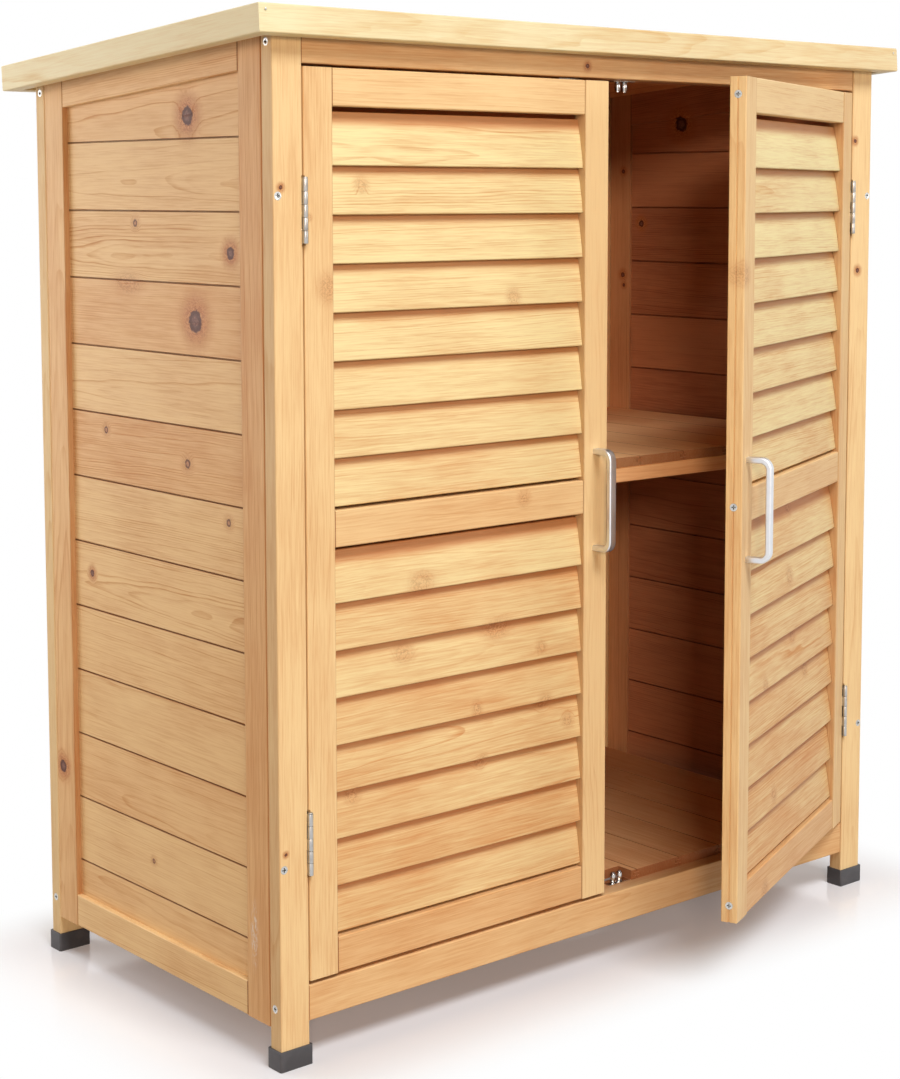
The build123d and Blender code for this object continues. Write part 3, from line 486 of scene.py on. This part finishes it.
def knot_colour(graph, place, knot, colour, kind):
    """Lays knots over the wood: an orange halo, swirled grain, a dark rim and a heart."""
    style = KNOT_KINDS[kind]
    halo = graph.span(knot, *HALO_SPAN, style["halo"], 0.0)
    colour = graph.mix(halo, colour, KNOT_HALO)
    wobble = graph.noise(place, SWIRL_GRAIN, 4.0, 0.65)
    swirl = graph.math("SINE", graph.total((knot, SWIRL_TURNS), (wobble, SWIRL_WOBBLE)))
    near = graph.span(knot, *SWIRL_SPAN, style["swirl"], 0.0)
    dark_line = graph.span(swirl, *DARK_LINE_SPAN, 0.0, DARK_LINE_SHARE)
    pale_line = graph.span(swirl, *PALE_LINE_SPAN, 0.0, PALE_LINE_SHARE)
    colour = graph.mix(graph.math("MULTIPLY", near, dark_line), colour, KNOT_DARK_LINE)
    colour = graph.mix(graph.math("MULTIPLY", near, pale_line), colour, KNOT_PALE_LINE)
    crack = graph.span(graph.noise(place, CRACK_GRAIN, 2.0, 0.7), *CRACK_SPAN)
    heart = graph.mix(crack, style["heart"], KNOT_CRACK)
    heart = graph.mix(graph.span(knot, *RIM_SPAN), heart, KNOT_RIM)
    return graph.mix(graph.span(knot, *HEART_SPAN, style["solid"], 0.0), colour, heart)


def scuff_colour(graph, place, colour, scuff):
    """Lays a pale rubbed mark over the wood: its centre and reach, in the frame."""
    near = graph.span(graph.offset(place, *scuff), *SCUFF_FADE, 1.0, 0.0)
    flecks = graph.span(graph.noise(place, SCUFF_GRAIN, 3.0, 0.7), *SCUFF_SPAN)
    return graph.mix(graph.math("MULTIPLY", near, flecks), colour, SCUFFED)


def pine(name, pale, deep, knots=(), figure=0.3, streaks=0.12, painted_shade=None, scuff=None, tucked_shade=None):
    """Planed softwood: growth rings of a log, fibres, streaks, knots, and darker end grain, with painted
    shade inside the cabinet, under louvres and on some edges.
    """
    material, graph = new_material(name)
    log = graph.attribute("log")
    tone, warmth, end_and_shade = graph.parts(graph.attribute("board"))
    along = graph.parts(log)[0]
    place = graph.place()

    # Distance from the pith, pushed aside by knots
    wander = graph.noise(log, WANDER_GRAIN, 3.0)
    ripple = graph.noise(log, RIPPLE_GRAIN, 2.0)
    radius = graph.vector("LENGTH", graph.vector("MULTIPLY", log, (0, 1, 1)))
    radius = graph.total((radius, 1.0), (wander, RING_WANDER), (ripple, RING_RIPPLE), (along, LOG_TAPER))
    fields = [(kind, knot_field(graph, place, group)) for kind, group in knots]
    for _, field in fields:
        radius = graph.math("ADD", radius, graph.span(field, *KNOT_PUSH_SPAN, KNOT_PUSH, 0.0))

    # Late wood of each year's ring
    ring = graph.total((radius, RINGS), (graph.noise(log, STRAY_GRAIN, 1.0), RING_STRAY))
    year = graph.math("FRACT", ring)
    chance = graph.node("ShaderNodeTexWhiteNoise", {"W": graph.math("FLOOR", ring)}, noise_dimensions="1D")
    bold = graph.math("POWER", chance.outputs["Value"], BOLD_POWER)
    bold = graph.span(bold, 0.0, 1.0, BOLD_LEAST, 1.0)
    late = graph.math("MULTIPLY", graph.span(year, *LATE_RISE), graph.span(year, *LATE_FALL))
    patch = graph.span(graph.noise(log, PATCH_GRAIN, 2.0), *PATCH_SPAN, PATCH_LEAST, 1.0)
    late = graph.math("MULTIPLY", graph.math("MULTIPLY", late, bold), patch)

    # Fibres and streaks along the board
    bend = graph.vector("MULTIPLY_ADD", graph.noise_colour(log, BEND_GRAIN), BEND_REACH, log)
    fibre = graph.noise(bend, FIBRE_GRAIN, 3.0, 0.66)
    hair = graph.span(graph.noise(bend, HAIR_GRAIN, 1.0), *HAIR_SPAN)
    fleck = graph.span(graph.noise(bend, FLECK_GRAIN, 2.0), *FLECK_SPAN)
    streak = graph.span(graph.noise(bend, STREAK_GRAIN, 4.0, 0.62), *STREAK_SPAN)
    cloud = graph.span(graph.noise(log, CLOUD_GRAIN, 3.0), *CLOUD_SPAN)

    # Colour: the wood, painted shade where it is inside the cabinet or tucked under the next louvre, knots,
    # end grain with painted shade on some edges, and rubbed marks
    depth = graph.total(
        (late, figure), (streak, streaks), (graph.span(fibre, *FIBRE_SPAN), FIBRE_SHARE), (hair, HAIR_SHARE),
        (cloud, CLOUD_SHARE), (tone, TONE_SHARE), (end_and_shade, END_AND_SHADE_SHARE), (fleck, FLECK_SHARE),
    )
    share = graph.span(depth, *DEPTH_SPAN)
    colour = graph.mix(share, pale, deep)
    colour = graph.mix(graph.math("MULTIPLY", warmth, WARMTH_SHARE), colour, WARM_PINE)
    # Painted shade: inside the cabinet the wood turns darker and redder
    if painted_shade is not None:
        colour = graph.mix(graph.attribute("painted_shade", "Fac"), colour, graph.mix(share, *painted_shade))
    # Painted shade where a louvre tucks under the next one, placed by its height share
    if tucked_shade is not None:
        tuck_shade = graph.span(graph.attribute("painted_shade", "Fac"), *TUCK_SHADE_SPAN, 0.0, TUCK_SHADE_SHARE)
        colour = graph.mix(tuck_shade, colour, tucked_shade)
    for kind, field in fields:
        colour = knot_colour(graph, place, field, colour, kind)
    # End grain is darker; the same mix paints shade on edges of stiles, seams and sides of posts
    colour = graph.mix(graph.math("MULTIPLY", end_and_shade, END_AND_SHADE_STAIN), colour, END_GRAIN_AND_SHADE)
    if scuff is not None:
        colour = scuff_colour(graph, place, colour, scuff)

    # Relief and sheen
    sawn = graph.math("MULTIPLY", end_and_shade, fibre)
    height = graph.total((late, LATE_RELIEF), (fibre, FIBRE_RELIEF), (sawn, END_RELIEF))
    rough = graph.total((fibre, 1.0), (late, LATE_ROUGH), (end_and_shade, END_ROUGH))
    graph.surface(
        Base_Color=colour, Roughness=graph.span(rough, *ROUGH_SPAN, *PINE_ROUGH),
        Normal=graph.bump(height, PINE_RELIEF, PINE_BUMP), Specular_IOR_Level=SOFT_GLOSS,
    )
    return material


# Metal, plastic and felt

def steel(name, colour, rough, brush, tarnish=0.4):
    """Plated metal with fine drawn lines, a little tarnish, and dirt and painted shade in its recesses."""
    material, graph = new_material(name)
    place = graph.place()
    lines = graph.noise(place, brush, 3.0, 0.6)
    stain = graph.noise(place, TARNISH_GRAIN, 3.0)
    tint = graph.mix(graph.span(stain, *TARNISH_SPAN, 0.0, tarnish), colour, TARNISH)
    # Ambient occlusion darkens the recesses: dirt and painted shade
    inputs = {"Distance": GRIME_AND_SHADE_REACH}
    open_share = graph.node("ShaderNodeAmbientOcclusion", inputs, samples=8, only_local=True).outputs["AO"]
    tint = graph.mix(graph.span(open_share, *GRIME_AND_SHADE_SPAN, GRIME_AND_SHADE_SHARE, 0.0), tint, GRIME_AND_SHADE)
    graph.surface(
        Base_Color=tint, Metallic=1.0, Roughness=graph.span(lines, *LINE_SPAN, rough - 0.08, rough + 0.1),
        Normal=graph.bump(lines, LINE_RELIEF, LINE_BUMP),
    )
    return material


def plastic(name, colour, speck):
    """Moulded plastic with a fine eroded grain."""
    material, graph = new_material(name)
    place = graph.place()
    grain = graph.noise(place, EROSION_GRAIN, 2.0)
    wear = graph.noise(place, WEAR_GRAIN, 3.0)
    tint = graph.mix(graph.span(wear, *WEAR_SPAN), colour, speck)
    graph.surface(
        Base_Color=tint, Roughness=graph.span(wear, *WEAR_ROUGH_SPAN, *PLASTIC_ROUGH),
        Normal=graph.bump(grain, EROSION_RELIEF, EROSION_BUMP),
    )
    return material


def felt(name):
    """Roofing felt: mineral granules pressed into bitumen."""
    material, graph = new_material(name)
    place = graph.place()
    cells = graph.node("ShaderNodeTexVoronoi", {"Vector": place, "Scale": GRANULES}, feature="F1")
    grit = graph.parts(cells.outputs["Color"])[0]
    cloud = graph.noise(place, FELT_CLOUD_GRAIN, 4.0)
    tint = graph.mix(graph.span(grit, *GRANULE_SPAN), FELT_BITUMEN, FELT_GRIT)
    tint = graph.mix(graph.span(cloud, *FELT_CLOUD_SPAN, 0.0, FELT_CLOUD_SHARE), tint, FELT_CLOUD)
    height = graph.math("SUBTRACT", 1.0, cells.outputs["Distance"])
    graph.surface(
        Base_Color=tint, Roughness=FELT_ROUGH, Specular_IOR_Level=SOFT_GLOSS,
        Normal=graph.bump(height, GRANULE_RELIEF, GRANULE_BUMP),
    )
    return material


# Pieces

def stand_in(name, mesh, material):
    """Shows a mesh in the place of a CAD node, on the same body."""
    mesh.name = name + "_shown"
    mesh.materials.clear()
    mesh.materials.append(material)
    piece = bpy.data.objects.new(name + "_shown", mesh)
    bpy.context.scene.collection.objects.link(piece)
    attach(piece, nodes[name]["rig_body"])
    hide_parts(name)


def solids_of(mesh):
    """For each vertex, the number of the solid that it belongs to."""
    owner = list(range(len(mesh.vertices)))

    def root(index):
        while owner[index] != index:
            owner[index] = owner[owner[index]]
            index = owner[index]
        return index

    seen = {}
    for vertex in mesh.vertices:
        key = tuple(round(value, WELD) for value in vertex.co)
        owner[root(vertex.index)] = root(seen.setdefault(key, vertex.index))
    for edge in mesh.edges:
        owner[root(edge.vertices[0])] = root(edge.vertices[1])
    roots = [root(index) for index in range(len(owner))]
    numbers = {value: number for number, value in enumerate(dict.fromkeys(roots))}
    return [numbers[value] for value in roots]


def turn_of(name, body):
    """The rotation from the frame into the straight axes of a piece's own timbers."""
    if body == "right_door":
        return Matrix.Rotation(-RIGHT_DOOR_TURN, 3, "Z")
    if name.startswith("roof_") or name.endswith("_wall_top_rail"):
        return Matrix.Rotation(ROOF_SLOPE, 3, "X")
    return Matrix.Identity(3)


def drawn_place(rng):
    """Where a board lies in its log: along it, and across and off its pith."""
    shift = rng.uniform(-PITH_SHIFT, PITH_SHIFT)
    depth = rng.uniform(*PITH_DISTANCE)
    if rng.random() < RIFT_SHARE:
        shift = rng.choice((-1, 1)) * rng.uniform(*RIFT_SHIFT)
        depth *= RIFT_DEPTH
    return rng.uniform(0, LOG_LENGTH), shift, depth * rng.choice((-1, 1))


def board_tone(name, low, high, tone, warmth):
    """The tone and warmth of a board, from those that were drawn for it, with painted shade on some rails,
    louvres and stiles.
    """
    # The top rail under the fascia and the bottom rail get painted shade: the deepest and warmest tone
    if name in SHADED_RAILS:
        return 1.0, 1.0
    if name == "left_wall_planks":
        if any(low[2] < height < high[2] for height in PALE_PLANKS):
            return PALE_TONE[0] + PALE_TONE[1] * tone, PALE_WARMTH * warmth
        if any(low[2] < height < high[2] for height in RICH_PLANKS):
            return RICH_TONE[0] + RICH_TONE[1] * tone, RICH_WARMTH
        return PLANK_TONE[0] + PLANK_TONE[1] * tone, warmth
    # Louvres and rails deepen and warm towards the bottom: painted shade of the light falling off
    if name.endswith("_louvres") or ("_rail" in name and "_wall_" not in name):
        depth = 1 - (low[2] - cad_low[2]) / (cad_high[2] - cad_low[2])
        return LOUVRE_TONE * tone + LOUVRE_SHADE_FADE * depth, LOUVRE_WARMTH * warmth + LOUVRE_SHADE_WARMTH * depth
    # The front stiles of the walls get the deepest tone: painted shade
    if name.endswith("_wall_stiles") and low[1] < 0:
        return 1.0, warmth
    if name.endswith("_post"):
        return POST_TONE * tone, POST_WARMTH * warmth
    return tone, warmth


def end_and_shade_share(name, point, normal, axes, middle):
    """How dark a face is, from 0 for a planed face to 1 for end grain, with painted shade on edges of stiles,
    long edges of boards and sides of posts, and the rear half of each floor board darker.
    """
    end_and_shade = abs(normal[axes[0]])
    # Long edges of jointed timbers darken too: painted shade in the seams
    if any(word in name for word in JOINTED):
        end_and_shade = max(end_and_shade, abs(normal[axes[1]]))
    end_and_shade = min(max((end_and_shade - END_FROM) / (END_FULL - END_FROM), 0.0), 1.0)
    # Painted shade on the sides of door stiles that face the louvres
    if "_door_" in name and "_stile" in name:
        inward = 1 if name.startswith("left_") == name.endswith("_hinge_stile") else -1
        return max(end_and_shade, STILE_EDGE_SHADE * normal[0] * inward)
    # Painted shade in the seams of wall stiles
    if name.endswith("_wall_stiles"):
        return STILE_EDGE_SHADE * end_and_shade
    # Painted shade on the sides of posts
    if name.endswith("_post"):
        return max(end_and_shade, POST_SIDE_SHADE * abs(normal[0]))
    if name == "floor_boards" and point[1] > middle[1]:
        return max(end_and_shade, FLOOR_REAR)
    return end_and_shade


def inside(point):
    """Whether a point of the cabinet lies inside it."""
    return all(inside_low[axis] < point[axis] < inside_high[axis] for axis in range(3))


def timber(name, material):
    """Stands a copy in for a timber node, with each board's place in a log stored for its grain."""
    body = nodes[name]["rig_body"]
    mesh = nodes[name].data.copy()
    turn = turn_of(name, body)
    solids = solids_of(mesh)
    points = [turn @ vertex.co for vertex in mesh.vertices]
    normals = [turn @ vertex.normal for vertex in mesh.vertices]
    log = [0.0] * (3 * len(points))
    board = [0.0] * (3 * len(points))
    painted_shade = [0.0] * len(points)
    for number in range(max(solids) + 1):
        members = [index for index, solid in enumerate(solids) if solid == number]
        low = [min(points[index][axis] for index in members) for axis in range(3)]
        high = [max(points[index][axis] for index in members) for axis in range(3)]
        middle = [(low[axis] + high[axis]) / 2 for axis in range(3)]
        axes = sorted(range(3), key=lambda axis: low[axis] - high[axis])
        rng = random.Random(f"{name} {number}")
        start = drawn_place(rng)
        drawn_tone = rng.random()
        drawn_warmth = rng.random()
        tone, warmth = board_tone(name, low, high, drawn_tone, drawn_warmth)
        if name == "left_wall_planks" and any(low[2] < height < high[2] for height in PALE_PLANKS):
            start = (start[0], PALE_SHIFT * PITH_SHIFT, PITH_DISTANCE[0])
        for index in members:
            for place, axis in enumerate(axes):
                log[3 * index + place] = points[index][axis] - middle[axis] + start[place]
            end_and_shade = end_and_shade_share(name, points[index], normals[index], axes, middle)
            board[3 * index:3 * index + 3] = (tone, warmth, end_and_shade)
            if name == "roof_front_fascia" and points[index][0] > 0:
                board[3 * index:3 * index + 2] = (tone + FASCIA_TONE, warmth + FASCIA_WARMTH)
            # Inside the cabinet the wood takes painted shade, and the wall stiles take less of it
            if body == "cabinet" and inside(mesh.vertices[index].co):
                painted_shade[index] = STILE_INSIDE_SHADE if name.endswith("_wall_stiles") else 1.0
            # For louvres, the height share that places the painted shade under the next louvre
            if name.endswith("_louvres"):
                painted_shade[index] = (points[index][2] - low[2]) / (high[2] - low[2])
    for key, kind, values, field in (
        ("log", "FLOAT_VECTOR", log, "vector"),
        ("board", "FLOAT_VECTOR", board, "vector"),
        ("painted_shade", "FLOAT", painted_shade, "value"),
    ):
        mesh.attributes.new(key, kind, "POINT").data.foreach_set(field, values)
    stand_in(name, mesh, material)


def softened(name, material, width):
    """Stands a copy in for a metal, plastic or felt node, with its sharp edges rounded off."""
    shape = bmesh.new()
    shape.from_mesh(nodes[name].data)
    bmesh.ops.remove_doubles(shape, verts=shape.verts, dist=MERGE_REACH)
    bmesh.ops.dissolve_limit(shape, angle_limit=FLAT_ANGLE, verts=shape.verts, edges=shape.edges)
    sharp = [edge for edge in shape.edges if edge.is_manifold and edge.calc_face_angle(0) > SHARP_ANGLE]
    bmesh.ops.bevel(
        shape, geom=sharp, offset=width, offset_type="OFFSET", segments=2, profile=0.5,
        affect="EDGES", clamp_overlap=True,
    )
    for face in shape.faces:
        face.smooth = True
    mesh = bpy.data.meshes.new(name)
    shape.to_mesh(mesh)
    shape.free()
    mesh.set_sharp_from_angle(angle=SHARP_ANGLE)
    stand_in(name, mesh, material)


def fascia_nails(material):
    """The heads of the nails through the ends of the front fascia."""
    shape = bmesh.new()
    down = Vector((0, math.sin(ROOF_SLOPE), -math.cos(ROOF_SLOPE)))
    ahead = Vector((0, -math.cos(ROOF_SLOPE), -math.sin(ROOF_SLOPE)))
    low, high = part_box("roof_front_fascia")
    top = Vector((0, low[1], high[2]))
    facing = Vector((0, 0, 1)).rotation_difference(ahead).to_matrix().to_4x4()
    squash = Matrix.Diagonal((1, 1, NAIL_DOME, 1))
    for x in (low[0] + NAIL_INSET, high[0] - NAIL_INSET):
        for drop in NAIL_DROPS:
            place = Matrix.Translation(top + Vector((x, 0, 0)) + down * drop) @ facing
            head = bmesh.ops.create_uvsphere(
                shape, u_segments=NAIL_SIDES, v_segments=NAIL_RINGS, radius=NAIL_RADIUS,
            )
            bmesh.ops.transform(shape, matrix=place @ squash, verts=head["verts"])
    for face in shape.faces:
        face.smooth = True
    mesh = bpy.data.meshes.new("fascia_nails")
    shape.to_mesh(mesh)
    shape.free()
    mesh.materials.append(material)
    piece = bpy.data.objects.new("fascia_nails", mesh)
    bpy.context.scene.collection.objects.link(piece)
    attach(piece, "cabinet")


# Knots that show, written in millimetres: each has a centre and radii along X, Y and Z, in metres

def wall_knot(y, z, size, x=LEFT_PLANKS):
    """A knot in a side wall, by default in the outer face of a left plank."""
    return ((x, y / 1000, z / 1000), (KNOT_DEPTH, size / 1000, size / 1000))


def upright_knot(x, z, size, stretch=1.0):
    """A knot in a timber that faces the front."""
    return ((x / 1000, FRONT, z / 1000), (size / 1000 * stretch, KNOT_DEPTH, size / 1000))


def door_knot(x, y, z, size):
    """A knot in the right door as it rests, ajar."""
    return ((x / 1000, y / 1000, z / 1000), (size / 1000, AJAR_DEPTH, size / 1000))


dark_side_knots = [
    wall_knot(7.5, 873.1, 8.5),
    wall_knot(-61.9, 747.0, 5.5),
    wall_knot(-1.9, 682.0, 10.0),
    wall_knot(197.1, 415.6, 3.4),
    wall_knot(253.8, 203.8, 6.0, LEFT_STILES),
    wall_knot(145.0, 886.7, 9.0, RIGHT_PLANKS),
    wall_knot(213.3, 764.2, 4.0, RIGHT_PLANKS),
    wall_knot(243.0, 698.9, 3.0, RIGHT_STILES),
    wall_knot(243.0, 829.8, 2.4, RIGHT_STILES),
    wall_knot(241.0, 686.0, 2.0, RIGHT_STILES),
]
eye_side_knots = [
    wall_knot(102.9, 772.6, 3.4),
    wall_knot(164.4, 565.7, 3.2),
    wall_knot(15.1, 546.0, 4.2),
    wall_knot(-53.8, 497.7, 3.4),
    wall_knot(86.8, 141.5, 2.4),
]
rough_side_knots = [((LEFT_PLANKS, 0.1177, 0.7138), (KNOT_DEPTH, 0.012, 0.005))]
dark_front_knots = [
    upright_knot(-30.4, 927.1, 2.2),
    upright_knot(391.0, 714.8, 2.6),
    upright_knot(383.3, 860.3, 2.2),
    upright_knot(-402.8, 806.4, 1.8),
    upright_knot(-404.0, 203.0, 1.4),
]
rough_front_knots = [
    upright_knot(-350.0, 716.2, 6.0),
    upright_knot(-114.1, 502.1, 3.6),
    upright_knot(-372.3, 779.8, 1.6),
    ((0.036, -0.2945, 0.723), (0.006, 0.02, 0.005)),
    door_knot(117.1, -249.3, 84.9, 4.0),
]
louvre_knots = [
    upright_knot(-240.5, 432.8, 5.0, 1.4),
    upright_knot(-307.8, 809.0, 3.5),
    upright_knot(-171.5, 299.1, 4.0, 0.7),
    upright_knot(-143.1, 374.9, 5.0, 1.6),
    upright_knot(-124.4, 700.9, 4.0),
    upright_knot(-82.0, 292.0, 4.0),
    upright_knot(-164.8, 245.4, 3.5),
    upright_knot(-321.6, 241.1, 4.0),
    upright_knot(-49.1, 267.3, 3.5),
    upright_knot(-259.9, 366.7, 4.0, 1.4),
    upright_knot(-86.6, 348.6, 3.0),
    door_knot(200.4, -212.2, 470.5, 4.0),
    door_knot(196.9, -213.8, 397.9, 4.5),
    door_knot(216.5, -205.1, 328.9, 4.0),
    door_knot(121.5, -247.4, 296.7, 3.5),
    door_knot(259.6, -185.9, 282.9, 4.0),
    door_knot(154.4, -232.7, 173.0, 3.5),
]

# The rubbed mark low on the front stile of the left wall: its centre and reach
stile_scuff = ((LEFT_STILES, -0.0975, 0.118), (0.02, 0.008, 0.042))

# Materials
# Darker, redder wood that paints the shade inside the cabinet
inside_shade_wood = (rgb(208, 145, 106), rgb(156, 92, 64))
pine_front = pine(
    "pine_front", rgb(250, 223, 169), rgb(212, 155, 98),
    (("dark", dark_front_knots), ("rough", rough_front_knots)), painted_shade=inside_shade_wood,
)
# The louvres' tucked colour is painted shade under the next louvre
pine_louvre = pine(
    "pine_louvre", rgb(248, 238, 182), rgb(206, 143, 86), (("rough", louvre_knots),),
    figure=0.36, streaks=0.16, tucked_shade=rgb(206, 132, 82),
)
pine_side = pine(
    "pine_side", rgb(244, 211, 156), rgb(200, 140, 84),
    (("dark", dark_side_knots), ("eye", eye_side_knots), ("rough", rough_side_knots)),
    figure=0.55, streaks=0.14, painted_shade=inside_shade_wood, scuff=stile_scuff,
)
pine_inner = pine("pine_inner", rgb(255, 206, 150), rgb(224, 154, 102), figure=0.45, streaks=0.2)
pine_roof = pine("pine_roof", rgb(246, 246, 207), rgb(224, 194, 137))
hinge_steel = steel("hinge_steel", rgb(188, 186, 182), 0.32, (500, 500, 60))
catch_steel = steel("catch_steel", rgb(222, 222, 221), 0.2, (400, 400, 60))
screw_steel = steel("screw_steel", rgb(206, 205, 201), 0.28, (400, 400, 400))
aluminium = steel("aluminium", rgb(222, 224, 228), 0.4, (1100, 1100, 16), 0.08)
foot_plastic = plastic("foot_plastic", rgb(66, 66, 70), rgb(84, 84, 88))
roof_felt = felt("roof_felt")

# Every node gets its finish
for name in sorted(nodes):
    if "screws" in name:
        softened(name, screw_steel, SCREW_EDGE)
    elif name.startswith("hinge_") or name.endswith("_hinge_door_leaves"):
        softened(name, hinge_steel, HINGE_EDGE)
    elif name == "catch_brackets" or name.endswith("tongues"):
        softened(name, catch_steel, CATCH_EDGE)
    elif name.endswith("_roller"):
        softened(name, catch_steel, ROLLER_EDGE)
    elif name.endswith("_handle"):
        softened(name, aluminium, HANDLE_EDGE)
    elif name == "feet":
        softened(name, foot_plastic, FOOT_EDGE)
    elif name == "roof_felt":
        softened(name, roof_felt, FELT_EDGE)
    elif name.endswith("_louvres"):
        timber(name, pine_louvre)
    elif name.endswith("fascia"):
        timber(name, pine_roof)
    elif "_planks" in name:
        timber(name, pine_side)
    elif "boards" in name or name in ("floor_rear_cleat", "shelf_battens"):
        timber(name, pine_inner)
    elif "_wall_" in name:
        timber(name, pine_side)
    else:
        timber(name, pine_front)
fascia_nails(screw_steel)


# Stage

def seen_directly(graph):
    """One for rays from the camera and for reflections, zero for light on the object."""
    path = graph.node("ShaderNodeLightPath").outputs
    seen = graph.math("MAXIMUM", path["Is Camera Ray"], path["Is Glossy Ray"])
    return graph.math("MAXIMUM", seen, path["Is Transmission Ray"])


def studio_floor():
    """A pale glossy floor that keeps the shed's shadow and runs out into the white backdrop."""
    mesh = bpy.data.meshes.new("floor")
    plane = bmesh.new()
    bmesh.ops.create_grid(plane, x_segments=2, y_segments=2, size=FLOOR_REACH)
    plane.to_mesh(mesh)
    plane.free()
    floor = bpy.data.objects.new("floor", mesh)
    bpy.context.scene.collection.objects.link(floor)
    material, graph = new_material("floor_white")
    place = graph.place()
    seen = seen_directly(graph)
    feet_low, feet_high = (Vector(corner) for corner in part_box("feet"))
    footprint = (feet_high - feet_low) / 2
    footprint.z = 1
    middle = (feet_high + feet_low) / 2
    bounce = (*FLOOR_BOUNCE, 1)
    pale = (*FLOOR_SEEN, 1)
    inputs = {
        "Base Color": graph.mix(seen, bounce, pale),
        "Roughness": FLOOR_ROUGH,
        "Specular IOR Level": FLOOR_GLOSS,
        "Emission Color": (*FLOOR_GLOW_COLOUR, 1),
        "Emission Strength": graph.math("MULTIPLY", seen, FLOOR_GLOW),
    }
    lit = graph.node("ShaderNodeBsdfPrincipled", inputs)
    glow = graph.node("ShaderNodeEmission", {"Color": (*WHITE, 1), "Strength": 1.0})
    beside = graph.vector("ABSOLUTE", graph.vector("SUBTRACT", place, middle))
    beside = graph.vector("SUBTRACT", beside, footprint)
    beside = graph.vector("LENGTH", graph.vector("MAXIMUM", beside))
    away = graph.span(beside, *FLOOR_FADE)
    share = graph.math("MULTIPLY", away, seen)
    mixed = graph.node("ShaderNodeMixShader", {0: share, 1: lit.outputs[0], 2: glow.outputs[0]})
    graph.node("ShaderNodeOutputMaterial", {"Surface": mixed.outputs[0]})
    mesh.materials.append(material)


def studio_world():
    """A white surround: plain soft light on the object, white where it is seen."""
    world = bpy.data.worlds.new("studio")
    bpy.context.scene.world = world
    world.use_nodes = True
    graph = Graph(world.node_tree)
    soft = graph.node("ShaderNodeBackground", {"Color": (*SKY_COLOUR, 1), "Strength": SKY_STRENGTH})
    white = graph.node("ShaderNodeBackground", {"Color": (*WHITE, 1), "Strength": 1.0})
    inputs = {0: seen_directly(graph), 1: soft.outputs[0], 2: white.outputs[0]}
    mixed = graph.node("ShaderNodeMixShader", inputs)
    graph.node("ShaderNodeOutputWorld", {"Surface": mixed.outputs[0]})


def softbox(name, place, aim, size, power, colour):
    """A soft lamp with a square-cornered face."""
    data = bpy.data.lights.new(name, "AREA")
    data.shape = "RECTANGLE"
    data.size, data.size_y = size
    data.energy = power
    data.color = colour
    lamp = bpy.data.objects.new(name, data)
    bpy.context.scene.collection.objects.link(lamp)
    lamp.location = place
    lamp.rotation_euler = (Vector(aim) - Vector(place)).to_track_quat("-Z", "Y").to_euler()


def photo_camera():
    """The camera, where the photograph was taken from."""
    data = bpy.data.cameras.new("camera")
    data.sensor_width = SENSOR
    data.lens = FOCAL_PIXELS / PHOTO_HEIGHT * SENSOR
    data.shift_x = (PHOTO_WIDTH / 2 - CENTRE_PIXEL[0]) / PHOTO_HEIGHT
    data.shift_y = (CENTRE_PIXEL[1] - PHOTO_HEIGHT / 2) / PHOTO_HEIGHT
    camera = bpy.data.objects.new("camera", data)
    bpy.context.scene.collection.objects.link(camera)
    camera.location = CAMERA_PLACE
    camera.rotation_euler = (math.radians(90 - CAMERA_PITCH), 0.0, math.radians(-CAMERA_YAW))
    bpy.context.scene.camera = camera


studio_floor()
studio_world()
softbox("key", KEY_PLACE, KEY_AIM, KEY_SIZE, KEY_POWER, WHITE)
softbox("fill", FILL_PLACE, FILL_AIM, FILL_SIZE, FILL_POWER, WHITE)
softbox("front", FRONT_PLACE, FRONT_AIM, FRONT_SIZE, FRONT_POWER, WARM)
softbox("right", RIGHT_PLACE, RIGHT_AIM, RIGHT_SIZE, RIGHT_POWER, WHITE)
photo_camera()
bpy.context.scene.view_settings.view_transform = "Standard"
